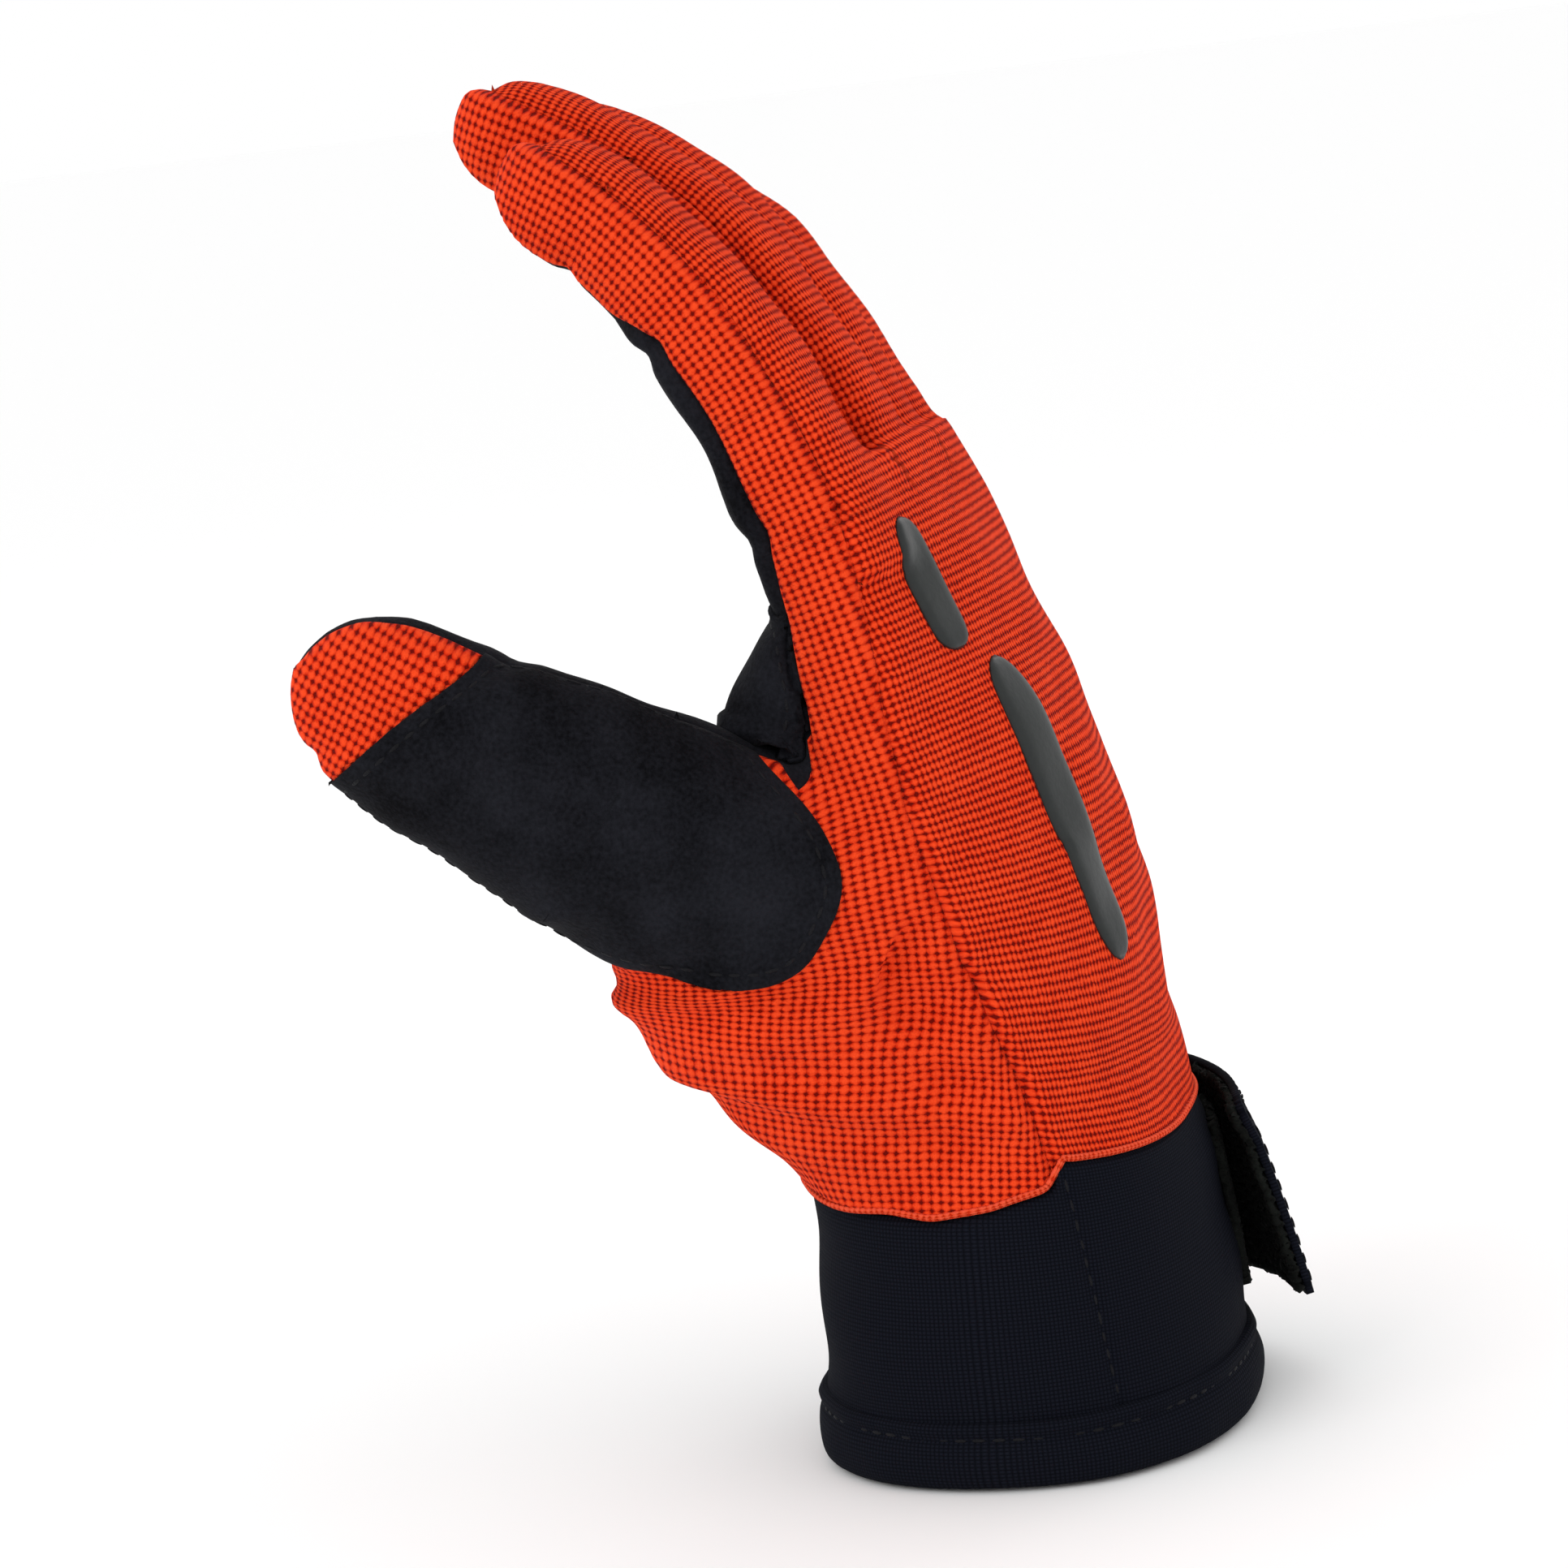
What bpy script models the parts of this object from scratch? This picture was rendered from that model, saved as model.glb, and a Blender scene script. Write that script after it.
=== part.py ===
"""A right-hand work glove that stands on its cuff, with its fingers half curled.

Frame: metres, +Z up from the cuff's mouth to the fingers, the back of the hand
towards +X, the palm towards -X, the thumb on the -Y side. The origin is under
the middle of the whole glove, on the plane that the cuff stands on. Every panel
is a thin slab laid on one of three forms: the hand, a finger or the thumb.
"""
import math

import bmesh
import bpy
import numpy as np

MM = 0.001

# ---- driving dimensions, in millimetres ----------------------------------
FABRIC = 1.6          # knit or suede with its lining
NEOPRENE = 2.8        # cuff sleeve
GAP = 0.4             # clearance that touching panels keep
HEM_HEIGHT = 10.5
CUFF_TOP = 41.5
CUFF_RISE = 9.0       # the sleeve reaches this much higher on the back
PANEL_START = 42.0    # where the panels start above the cuff
KNUCKLE_S = 153.0     # distance along the spine to the knuckle hinges
PANEL_END = 146.5
HINGE_CLEAR = 5.0     # free length on each side of a finger hinge
TIP_OPEN = 1.6        # the panels stop this far short of a fingertip
SUPER = 2.4           # squareness of the sections

# From the origin, under the middle of the glove, to the middle of the cuff's mouth.
MOUTH = np.array([23.10, 11.30, 0.0])

# The spine is the middle of the hand seen from the thumb side, as (x, z).
# Both it and the thumb's line are measured from the middle of the cuff's mouth.
SPINE = [(0, -25), (0, 0), (0, 12), (0, 25), (0.5, 45), (2.5, 62), (4.5, 80), (3.5, 102), (-0.5, 120),
         (-6, 140), (-12, 157), (-18.5, 172), (-28.5, 188), (-42, 201), (-59, 211), (-76, 218)]

# Hand sections: height along the spine, half width, depth to the back,
# depth to the palm, and how far the side edges drop towards the palm.
HAND = np.array([
    (0, 39.5, 32.5, 32.5, 0),
    (25, 38.5, 31.0, 31.5, 0),
    (41, 37.5, 29.0, 31.0, 0),
    (50, 37.0, 27.0, 35.0, 0),
    (60, 36.5, 24.0, 40.0, 1),
    (76, 37.5, 20.5, 42.0, 3),
    (92, 39.5, 17.5, 37.0, 6),
    (106, 41.0, 15.5, 27.0, 8),
    (122, 41.5, 13.5, 20.5, 7),
    (140, 41.5, 11.5, 15.0, 5),
    (155, 41.0, 10.5, 12.5, 4),
])

# Each finger: middle line across the hand, drop towards the palm, half width,
# half depth at the root, spine distance of its middle hinge and of its tip,
# and the largest turn of its knuckle and of its middle hinge.
FINGERS = {
    "index": dict(y=-31.0, drop=4.0, wide=10.0, deep=10.8, bend=186, tip=226, turn=(40, 40)),
    "middle": dict(y=-10.3, drop=2.3, wide=10.1, deep=10.8, bend=190, tip=241, turn=(50, 50)),
    "ring": dict(y=10.2, drop=4.0, wide=9.8, deep=10.5, bend=187, tip=235, turn=(55, 55)),
    "little": dict(y=30.0, drop=6.5, wide=9.2, deep=9.8, bend=180, tip=217, turn=(55, 55)),
}

# The thumb's middle line from its root to the centre of its tip, with radii.
THUMB = np.array([
    (-26.0, -34.0, 92.0, 21.0),
    (-40.0, -42.0, 103.0, 19.0),
    (-55.0, -48.0, 114.0, 17.0),
    (-68.0, -52.0, 123.0, 15.0),
    (-80.0, -54.0, 131.0, 12.5),
])
THUMB_FLAT = 0.82     # depth over width of the thumb's sections
THUMB_ROOT = 12.0     # the thumb's panels start here along its middle line
THUMB_BEND = 44.0     # its hinge near the tip
THUMB_TIP = 77.5

# Panels are bounded by angles round a section, from the back towards the thumb.
BACK_EDGE = 52.0
PALM_EDGE = 128.0

RED = (0.80, 0.045, 0.012)
RED_SIDE = (0.72, 0.035, 0.010)
BLACK = (0.010, 0.011, 0.014)
SUEDE = (0.014, 0.014, 0.018)
RUBBER = (0.03, 0.035, 0.035)


def smooth_path(points, count=600):
    """A Catmull-Rom curve through the points, and its length at each sample."""
    p = np.array(points, float)
    p = np.vstack([2 * p[0] - p[1], p, 2 * p[-1] - p[-2]])
    out = []
    steps = count // (len(p) - 3)
    for a, b, c, d in zip(p, p[1:], p[2:], p[3:]):
        for t in np.arange(steps) / steps:
            out.append(0.5 * (2 * b + (c - a) * t + (2 * a - 5 * b + 4 * c - d) * t ** 2
                              + (3 * b - a - 3 * c + d) * t ** 3))
    out = np.array(out + [p[-2]])
    length = np.r_[0, np.cumsum(np.linalg.norm(np.diff(out[:, :3], axis=0), axis=1))]
    return out, length


SPINE_LINE, SPINE_LENGTH = smooth_path(SPINE)
SPINE_LENGTH = SPINE_LENGTH - 25   # the cuff's mouth is at distance 0
THUMB_LINE, THUMB_LENGTH = smooth_path(THUMB)


def spine(s):
    """The point at distance s along the spine, and the direction to the back."""
    def at(d):
        return np.array([np.interp(d, SPINE_LENGTH, SPINE_LINE[:, k]) for k in (0, 1)])
    x, z = at(s)
    dx, dz = at(s + 2) - at(s - 2)
    size = math.hypot(dx, dz)
    return np.array([x, 0, z]) + MOUTH, np.array([dz / size, 0, -dx / size])


def section(angle, wide, deep, palm_deep=None):
    """A rounded section's point as (towards the back, towards +Y)."""
    a = math.radians(angle)
    c, s = math.cos(a), math.sin(a)
    if c < 0 and palm_deep is not None:
        deep = palm_deep
    n = deep * math.copysign(abs(c) ** (2 / SUPER), c)
    return n, -wide * math.copysign(abs(s) ** (2 / SUPER), s)


def hand_form(s, angle, depth):
    """The hand's surface at distance s and angle, sunk inwards by depth."""
    wide, back, palm, arch = (np.interp(s, HAND[:, 0], HAND[:, k]) for k in (1, 2, 3, 4))
    n, y = section(angle, wide - depth, back - depth, palm - depth)
    origin, out = spine(s)
    n -= arch * (y / wide) ** 2
    return origin + n * out + np.array([0, y, 0])


def finger_form(finger):
    """The surface of one finger as a function like hand_form."""
    def form(s, angle, depth):
        f = FINGERS[finger]
        along = (s - KNUCKLE_S) / (f["tip"] - KNUCKLE_S)
        round_length = 11.0
        left = (f["tip"] - s) / round_length
        cap = math.sqrt(max(0.0, 1 - (1 - min(left, 1)) ** 2))
        wide = f["wide"] * (1 - 0.06 * along) * cap - depth
        deep = f["deep"] * (1 - 0.22 * along) * cap - depth
        n, y = section(angle, max(wide, 0.3), max(deep, 0.3))
        origin, out = spine(s)
        return origin + (n - f["drop"]) * out + np.array([0, y + f["y"], 0])
    return form


def thumb_frame(s):
    """The thumb's centre, direction, back direction, side and radius."""
    def at(d):
        return np.array([np.interp(d, THUMB_LENGTH, THUMB_LINE[:, k]) for k in range(4)])
    p = at(min(s, THUMB_LENGTH[-1]))
    run = at(min(s + 2, THUMB_LENGTH[-1])) - at(min(s, THUMB_LENGTH[-1]) - 2)
    run = run[:3] / np.linalg.norm(run[:3])
    centre = MOUTH + p[:3] + run * max(0.0, s - THUMB_LENGTH[-1])
    back = np.array([0.15, -1.0, 0.0])
    back -= run * back.dot(run)
    back /= np.linalg.norm(back)
    return centre, run, back, np.cross(run, back), p[3]


def thumb_form(s, angle, depth):
    centre, _, back, side, radius = thumb_frame(s)
    round_length = 13.0
    left = (THUMB_TIP + TIP_OPEN - s) / round_length
    cap = math.sqrt(max(0.0, 1 - (1 - min(left, 1)) ** 2))
    n, y = section(angle, max(radius * cap - depth, 0.3),
                   max(radius * THUMB_FLAT * cap - depth, 0.3))
    return centre + n * back + y * side


# ---- scene and materials ---------------------------------------------------
def fresh_scene():
    for o in list(bpy.data.objects):
        bpy.data.objects.remove(o, do_unlink=True)
    parts = bpy.data.collections.new("work_glove")
    bpy.context.scene.collection.children.link(parts)
    return parts


def material(name, colour, roughness):
    m = bpy.data.materials.new(name)
    m.use_nodes = True
    shader = m.node_tree.nodes["Principled BSDF"]
    shader.inputs["Base Color"].default_value = (*colour, 1)
    shader.inputs["Roughness"].default_value = roughness
    shader.inputs["Metallic"].default_value = 0.0
    return m


def hinge_empty(name, point):
    empty = bpy.data.objects.new(name, None)
    empty.location = [v * MM for v in point]
    PARTS.objects.link(empty)
    return empty


def finished(bm, name, look):
    """Turn a closed bmesh's faces outwards and make it an object."""
    bmesh.ops.recalc_face_normals(bm, faces=bm.faces)
    if bm.calc_volume(signed=True) < 0:
        bmesh.ops.reverse_faces(bm, faces=bm.faces)
    mesh = bpy.data.meshes.new(name)
    bm.to_mesh(mesh)
    bm.free()
    mesh.shade_smooth()
    mesh.materials.append(look)
    o = bpy.data.objects.new(name, mesh)
    PARTS.objects.link(o)
    return o


def slab(name, form, s_range, angles, cells, look, thick=FABRIC, lift=0.0, hinge=None):
    """A closed panel: a flat grid, thickened and laid on a form.

    cells is the number of faces along and round the form, lift raises the panel
    off the form, and hinge is the empty on the axis that the panel turns about.
    """
    bm = bmesh.new()
    bmesh.ops.create_grid(bm, x_segments=cells[0], y_segments=cells[1], size=0.5)
    inner = bmesh.ops.extrude_face_region(bm, geom=bm.faces[:])
    moved = [v for v in inner["geom"] if isinstance(v, bmesh.types.BMVert)]
    bmesh.ops.translate(bm, verts=moved, vec=(0, 0, 1))
    base = np.array(hinge.location) / MM if hinge else np.zeros(3)
    for v in bm.verts:
        s = s_range[0] + (v.co.x + 0.5) * (s_range[1] - s_range[0])
        angle = angles[0] + (v.co.y + 0.5) * (angles[1] - angles[0])
        v.co = (form(s, angle, v.co.z * thick - lift) - base) * MM
    o = finished(bm, name, look)
    if hinge:
        o.parent = hinge
    return o


def ring(name, form, heights, look, thick, count=40, lift=0.0, rise=0.0):
    """A closed sleeve: a tube round the form, open at both ends.

    Its top edge is higher by rise where it crosses the back.
    """
    bm = bmesh.new()
    bmesh.ops.create_grid(bm, x_segments=len(heights) - 1, y_segments=count, size=0.5)
    inner = bmesh.ops.extrude_face_region(bm, geom=bm.faces[:])
    moved = [v for v in inner["geom"] if isinstance(v, bmesh.types.BMVert)]
    bmesh.ops.translate(bm, verts=moved, vec=(0, 0, 1))
    seam = [f for f in bm.faces
            if all(abs(v.co.y - 0.5) < 1e-6 for v in f.verts)
            or all(abs(v.co.y + 0.5) < 1e-6 for v in f.verts)]
    bmesh.ops.delete(bm, geom=seam, context="FACES")
    for v in bm.verts:
        row = round((v.co.x + 0.5) * (len(heights) - 1))
        s = heights[row]
        angle = 360 * (v.co.y + 0.5)
        if row == len(heights) - 1:
            off_back = min(angle, 360 - angle)
            s += rise * min(1.0, max(0.0, (BACK_EDGE - 2 - off_back) / 9))
        v.co = form(s, angle, v.co.z * thick - lift) * MM
    bmesh.ops.remove_doubles(bm, verts=bm.verts, dist=0.00001)
    return finished(bm, name, look)


PARTS = fresh_scene()
KNIT = material("red_knit", RED, 0.85)
SIDE_KNIT = material("red_side_knit", RED_SIDE, 0.85)
PALM_SUEDE = material("black_suede", SUEDE, 0.8)
CUFF_CLOTH = material("black_neoprene", BLACK, 0.9)
STRAP_CLOTH = material("black_strap", BLACK, 0.95)
PRINT = material("rubber_print", RUBBER, 0.35)

# Angle that keeps half a gap or more at a panel's edge, on a radius of 12 mm or more.
EDGE = math.degrees(0.5 * GAP / 12)


def cuff():
    """The stretch sleeve round the wrist, and the folded hem at its mouth."""
    ring("cuff_hem", hand_form, [0, 3, 8, HEM_HEIGHT], CUFF_CLOTH, NEOPRENE + 0.8, lift=1.0)
    ring("cuff_sleeve", hand_form, [HEM_HEIGHT + GAP, 22, 35, CUFF_TOP], CUFF_CLOTH, NEOPRENE,
         rise=CUFF_RISE)


def hand_panels():
    """The panels of the hand, round the hollow that holds it."""
    long = (PANEL_START, PANEL_END)
    back = (-BACK_EDGE + EDGE, BACK_EDGE - EDGE)
    slab("back_panel", hand_form, (PANEL_START + CUFF_RISE, PANEL_END), back, (12, 10), KNIT)
    slab("palm_panel", hand_form, long, (PALM_EDGE + 22 + EDGE, 360 - PALM_EDGE - EDGE),
         (12, 8), PALM_SUEDE)
    slab("little_side_panel", hand_form, long, (-PALM_EDGE + EDGE, -BACK_EDGE - EDGE),
         (12, 5), SIDE_KNIT)
    slab("index_side_panel", hand_form, (110, PANEL_END),
         (BACK_EDGE + EDGE, PALM_EDGE - EDGE), (5, 5), SIDE_KNIT)
    slab("thumb_root_panel", hand_form, (PANEL_START, 74),
         (BACK_EDGE + EDGE, PALM_EDGE + 22 - EDGE), (4, 6), KNIT)
    slab("thumb_back_gusset", hand_form, (74 + GAP, 110 - GAP),
         (BACK_EDGE + EDGE, 84), (5, 3), KNIT)
    slab("web_patch", hand_form, (110, 140),
         (PALM_EDGE + EDGE, PALM_EDGE + 22 - EDGE), (4, 3), PALM_SUEDE)


def finger(name):
    """Two hinged stages, each with a back, a palm side and two side strips."""
    f = FINGERS[name]
    form = finger_form(name)
    knuckle, out = spine(KNUCKLE_S)
    bend, bend_out = spine(f["bend"])
    hinge_drop = f["drop"] + 2.0
    at_knuckle = knuckle - out * hinge_drop + np.array([0, f["y"], 0])
    at_bend = bend - bend_out * hinge_drop + np.array([0, f["y"], 0])
    stages = [
        ("lower", (KNUCKLE_S + HINGE_CLEAR, f["bend"] - HINGE_CLEAR), at_knuckle, 3),
        ("upper", (f["bend"] + HINGE_CLEAR, f["tip"] - TIP_OPEN), at_bend, 6),
    ]
    edge = 2 * EDGE
    walls = [
        ("back", (-BACK_EDGE + edge, BACK_EDGE - edge), KNIT),
        ("thumb_side", (BACK_EDGE + edge, PALM_EDGE - edge), SIDE_KNIT),
        ("palm", (PALM_EDGE + edge, 360 - PALM_EDGE - edge), PALM_SUEDE),
        ("far_side", (-PALM_EDGE + edge, -BACK_EDGE - edge), SIDE_KNIT),
    ]
    for stage, reach, point, cells in stages:
        hinge = hinge_empty(f"{name}_{stage}_hinge", point)
        for wall, angles, look in walls:
            slab(f"{name}_{stage}_{wall}", form, reach, angles, (cells, 4), look, hinge=hinge)


def thumb():
    """The thumb: a lower stage under the suede patch, and a hinged tip."""
    centre, *_ = thumb_frame(THUMB_ROOT - 6)
    root = hinge_empty("thumb_root_hinge", centre)
    centre, *_ = thumb_frame(THUMB_BEND)
    bend = hinge_empty("thumb_bend_hinge", centre)
    edge = 1.5 * EDGE
    lower = (THUMB_ROOT, THUMB_BEND - HINGE_CLEAR)
    upper = (THUMB_BEND + HINGE_CLEAR, THUMB_TIP)
    slab("thumb_lower_back_patch", thumb_form, lower, (-90 + edge, 90 - edge), (5, 8),
         PALM_SUEDE, hinge=root)
    slab("thumb_lower_palm", thumb_form, lower, (90 + edge, 270 - edge), (5, 8),
         PALM_SUEDE, hinge=root)
    slab("thumb_tip_back", thumb_form, upper, (-90 + edge, 90 - edge), (6, 8),
         KNIT, hinge=bend)
    slab("thumb_tip_palm", thumb_form, upper, (90 + edge, 270 - edge), (6, 8),
         PALM_SUEDE, hinge=bend)


STRAP_LOW, STRAP_HIGH = 13.0, 51.0
STRAP_SEWN = -62.0    # angle of the sewn end, on the little finger's side
STRAP_FREE = -6.0     # angle of the free end, short of the middle of the back
STRAP_THICK = 2.4
STRAP_PEEL = 7.5      # how far the free end stands off the cuff


def strap_form(s, angle, depth):
    """The strap's surface: sewn down at one end and peeled off the cuff at the other."""
    peeled = (angle - STRAP_SEWN) / (STRAP_FREE - STRAP_SEWN)
    lower = (STRAP_HIGH - s) / (STRAP_HIGH - STRAP_LOW)
    stand = STRAP_THICK + 2.0 + (STRAP_PEEL * (0.35 + 0.65 * lower)) * max(0.0, peeled) ** 1.2
    return hand_form(s, angle, depth - stand)


def wrist_strap():
    """The closing strap over the wrist's back, and what it is sewn to."""
    slab("strap_loop_pad", hand_form, (15, 45), (-52, -10), (3, 8), STRAP_CLOTH,
         thick=1.2, lift=1.2 + GAP)
    slab("strap_sewn_end", hand_form, (STRAP_LOW, 41), (-86, STRAP_SEWN - 3), (3, 4),
         STRAP_CLOTH, thick=STRAP_THICK, lift=STRAP_THICK + GAP)
    point = strap_form(30, STRAP_SEWN - 1.5, 0)
    hinge = hinge_empty("strap_hinge", point)
    half = STRAP_THICK / 2 - GAP / 2
    slab("strap_flap", strap_form, (STRAP_LOW, STRAP_HIGH), (STRAP_SEWN, STRAP_FREE),
         (5, 10), STRAP_CLOTH, thick=half, hinge=hinge)
    slab("strap_hook_face", strap_form, (STRAP_LOW + 1, STRAP_HIGH - 1),
         (STRAP_SEWN + 14, STRAP_FREE - 0.5), (4, 8), STRAP_CLOTH,
         thick=half, lift=-STRAP_THICK / 2 - GAP / 2, hinge=hinge)


def rubber_prints():
    """Two plain raised bars on the back, in the place of decoration."""
    slab("back_print_long", hand_form, (77, 122), (16, 31), (8, 3), PRINT,
         thick=0.8, lift=0.8 + GAP)
    slab("back_print_short", hand_form, (125, 146), (31, 46), (5, 3), PRINT,
         thick=0.8, lift=0.8 + GAP)


cuff()
hand_panels()
for each in FINGERS:
    finger(each)
thumb()
wrist_strap()
rubber_prints()
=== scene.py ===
# %% [markdown]
# # A knit and suede work glove
# The glove stands on its stretch cuff with its fingers half curled. Its skin is
# grown as one smooth form, because cloth runs over a hand without steps. The
# form is then cut along its seams into the panels a glove maker would sew.

# %% Load the frame
import math
import random

import bmesh
import bpy
import numpy as np
from mathutils import Matrix, Vector, noise
from mathutils.bvhtree import BVHTree
from mathutils.kdtree import KDTree


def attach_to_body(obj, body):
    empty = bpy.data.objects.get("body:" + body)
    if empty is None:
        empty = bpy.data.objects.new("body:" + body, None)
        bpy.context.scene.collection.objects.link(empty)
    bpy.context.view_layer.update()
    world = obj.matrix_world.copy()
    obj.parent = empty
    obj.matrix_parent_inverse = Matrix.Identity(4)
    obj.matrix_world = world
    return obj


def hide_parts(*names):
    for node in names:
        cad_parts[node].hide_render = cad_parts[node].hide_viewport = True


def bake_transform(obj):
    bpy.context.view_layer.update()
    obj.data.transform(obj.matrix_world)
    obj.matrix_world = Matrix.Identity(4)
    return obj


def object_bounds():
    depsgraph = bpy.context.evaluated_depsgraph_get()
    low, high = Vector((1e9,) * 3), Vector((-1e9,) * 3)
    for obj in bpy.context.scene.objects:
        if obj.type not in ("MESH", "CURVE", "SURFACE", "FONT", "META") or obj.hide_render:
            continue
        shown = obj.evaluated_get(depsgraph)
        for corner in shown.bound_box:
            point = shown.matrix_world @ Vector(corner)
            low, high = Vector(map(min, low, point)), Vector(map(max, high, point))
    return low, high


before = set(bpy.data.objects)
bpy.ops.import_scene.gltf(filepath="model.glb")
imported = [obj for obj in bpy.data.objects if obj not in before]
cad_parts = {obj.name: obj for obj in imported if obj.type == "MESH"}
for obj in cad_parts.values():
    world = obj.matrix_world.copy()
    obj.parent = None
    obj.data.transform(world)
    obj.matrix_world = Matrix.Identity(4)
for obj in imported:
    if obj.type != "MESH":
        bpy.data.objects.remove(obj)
cad_box = [list(map(float, corner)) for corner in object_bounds()]
MM = 0.001
print("CAD box in mm:", np.round(np.array(cad_box) / MM, 1).tolist())

# %% [markdown]
# ## Camera, light and floor
# The glove is seen from the thumb side, a little from the back and from above.
# A long lens from most of a metre away keeps it free of strong perspective, and
# three large soft lights show the knit without hard shadows.

# %% Set up the studio
VIEW_AZIMUTH = 15.0
VIEW_ELEVATION = 9.0
VIEW_ROLL = -6.8
VIEW_DISTANCE = 0.75
FRAME_WIDTH = 0.2415
TARGET = (-0.0045, 0.0, 0.1050)
# name: place, size and power
LIGHTS = {
    "key": ((-0.55, -0.8, 0.75), 0.7, 2.2),
    "fill": ((0.75, -0.5, 0.35), 0.9, 0.4),
    "rim": ((0.3, 0.8, 0.7), 0.6, 0.8),
}
FLOOR_HALF, FLOOR_GAP = 12.0, 0.0004


def look_at(place, target):
    """The matrix of a camera or light at place that faces target."""
    turn = (Vector(target) - Vector(place)).to_track_quat("-Z", "Y")
    return Matrix.Translation(place) @ turn.to_matrix().to_4x4()


def add_camera(target):
    az, el = math.radians(VIEW_AZIMUTH), math.radians(VIEW_ELEVATION)
    away = Vector((math.sin(az) * math.cos(el), -math.cos(az) * math.cos(el), math.sin(el)))
    data = bpy.data.cameras.new("camera")
    data.sensor_width = 36.0
    data.lens = data.sensor_width * VIEW_DISTANCE / FRAME_WIDTH
    camera = bpy.data.objects.new("camera", data)
    bpy.context.collection.objects.link(camera)
    roll = Matrix.Rotation(math.radians(VIEW_ROLL), 4, "Z")
    camera.matrix_world = look_at(Vector(target) + away * VIEW_DISTANCE, target) @ roll
    bpy.context.scene.camera = camera


def add_light(name, place, target, size, power):
    data = bpy.data.lights.new(name, "AREA")
    data.size = size
    data.energy = power
    light = bpy.data.objects.new(name, data)
    light.matrix_world = look_at(place, target)
    bpy.context.collection.objects.link(light)


def add_floor():
    bm = bmesh.new()
    bmesh.ops.create_grid(bm, x_segments=1, y_segments=1, size=FLOOR_HALF)
    bmesh.ops.translate(bm, verts=bm.verts, vec=(0, 0, cad_box[0][2] - FLOOR_GAP))
    mesh = bpy.data.meshes.new("floor")
    bm.to_mesh(mesh)
    bm.free()
    floor = bpy.data.objects.new("floor", mesh)
    bpy.context.collection.objects.link(floor)
    paint = bpy.data.materials.new("pale_floor")
    paint.use_nodes = True
    shader = paint.node_tree.nodes["Principled BSDF"]
    shader.inputs["Base Color"].default_value = (0.99, 0.99, 0.99, 1)
    shader.inputs["Roughness"].default_value = 0.9
    mesh.materials.append(paint)


add_camera(TARGET)
for name, (place, size, power) in LIGHTS.items():
    add_light(name, place, TARGET, size, power)
add_floor()
world = bpy.data.worlds.new("white_room")
bpy.context.scene.world = world
world.use_nodes = True
world.node_tree.nodes["Background"].inputs["Color"].default_value = (1, 1, 1, 1)
world.node_tree.nodes["Background"].inputs["Strength"].default_value = 1.0
bpy.context.scene.view_settings.view_transform = "Standard"
print("lights:", ", ".join(LIGHTS))

# %% [markdown]
# ## The lines that the glove is drawn on
# A spine runs up the middle of the hand and curls with the fingers. Around it
# each section is a rounded oval. The thumb has a line of its own. The cuff, the
# hand, each finger and the thumb share these lines with the frame's solids.

# %% The spine, the sections and the thumb's line, in millimetres
MOUTH = np.array([23.10, 11.30, 0.0])
SPINE = [(0, -25), (0, 0), (0, 12), (0, 25), (0.5, 45), (2.5, 62), (4.5, 80), (3.5, 102), (-0.5, 120),
         (-6, 140), (-12, 157), (-18.5, 172), (-28.5, 188), (-42, 201), (-59, 211), (-76, 218)]
# distance s along the spine, half width, depth to the back, depth to the palm, arch
HAND = np.array([
    (0, 39.5, 32.5, 32.5, 0),
    (25, 38.5, 31.0, 31.5, 0),
    (41, 37.5, 29.0, 31.0, 0),
    (50, 37.0, 27.0, 35.0, 0),
    (60, 36.5, 24.0, 40.0, 1),
    (76, 37.5, 20.5, 42.0, 3),
    (92, 39.5, 17.5, 37.0, 6),
    (106, 41.0, 15.5, 27.0, 8),
    (122, 41.5, 13.5, 20.5, 7),
    (140, 41.5, 11.5, 15.0, 5),
    (155, 41.0, 10.5, 12.5, 4),
])
FINGERS = {
    "index": dict(y=-31.0, drop=4.0, wide=10.0, deep=10.8, bend=186, tip=226),
    "middle": dict(y=-10.3, drop=2.3, wide=10.1, deep=10.8, bend=190, tip=241),
    "ring": dict(y=10.2, drop=4.0, wide=9.8, deep=10.5, bend=187, tip=235),
    "little": dict(y=30.0, drop=6.5, wide=9.2, deep=9.8, bend=180, tip=217),
}
THUMB = [(-26.0, -34.0, 92.0, 21.0), (-40.0, -42.0, 103.0, 19.0), (-55.0, -48.0, 114.0, 17.0),
         (-68.0, -52.0, 123.0, 15.0), (-80.0, -54.0, 131.0, 12.5)]
THUMB_FLAT = 0.82
THUMB_START, THUMB_END = -16, 79.1
KNUCKLE_S = 153.0
# over these distances s the hand's section gives way to the fingers' own
FINGER_BLEND = (143, 158)
FINGER_CAP, THUMB_CAP = 11, 13
# the power of the rounded ovals: 2 is an ellipse, more is squarer
SUPER = 2.4


def smooth_path(points, steps=50):
    """Catmull-Rom samples through the points, and the length at each sample."""
    p = np.array(points, float)
    p = np.vstack([2 * p[0] - p[1], p, 2 * p[-1] - p[-2]])
    t = (np.arange(steps) / steps)[:, None]
    runs = [0.5 * (2 * b + (c - a) * t + (2 * a - 5 * b + 4 * c - d) * t ** 2
                   + (3 * b - a - 3 * c + d) * t ** 3)
            for a, b, c, d in zip(p, p[1:], p[2:], p[3:])]
    line = np.vstack(runs + [p[-2:-1]])
    step = np.linalg.norm(np.diff(line[:, :3], axis=0), axis=1)
    return line, np.r_[0, np.cumsum(step)]


def unit(v):
    return v / np.linalg.norm(v, axis=-1, keepdims=True)


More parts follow.
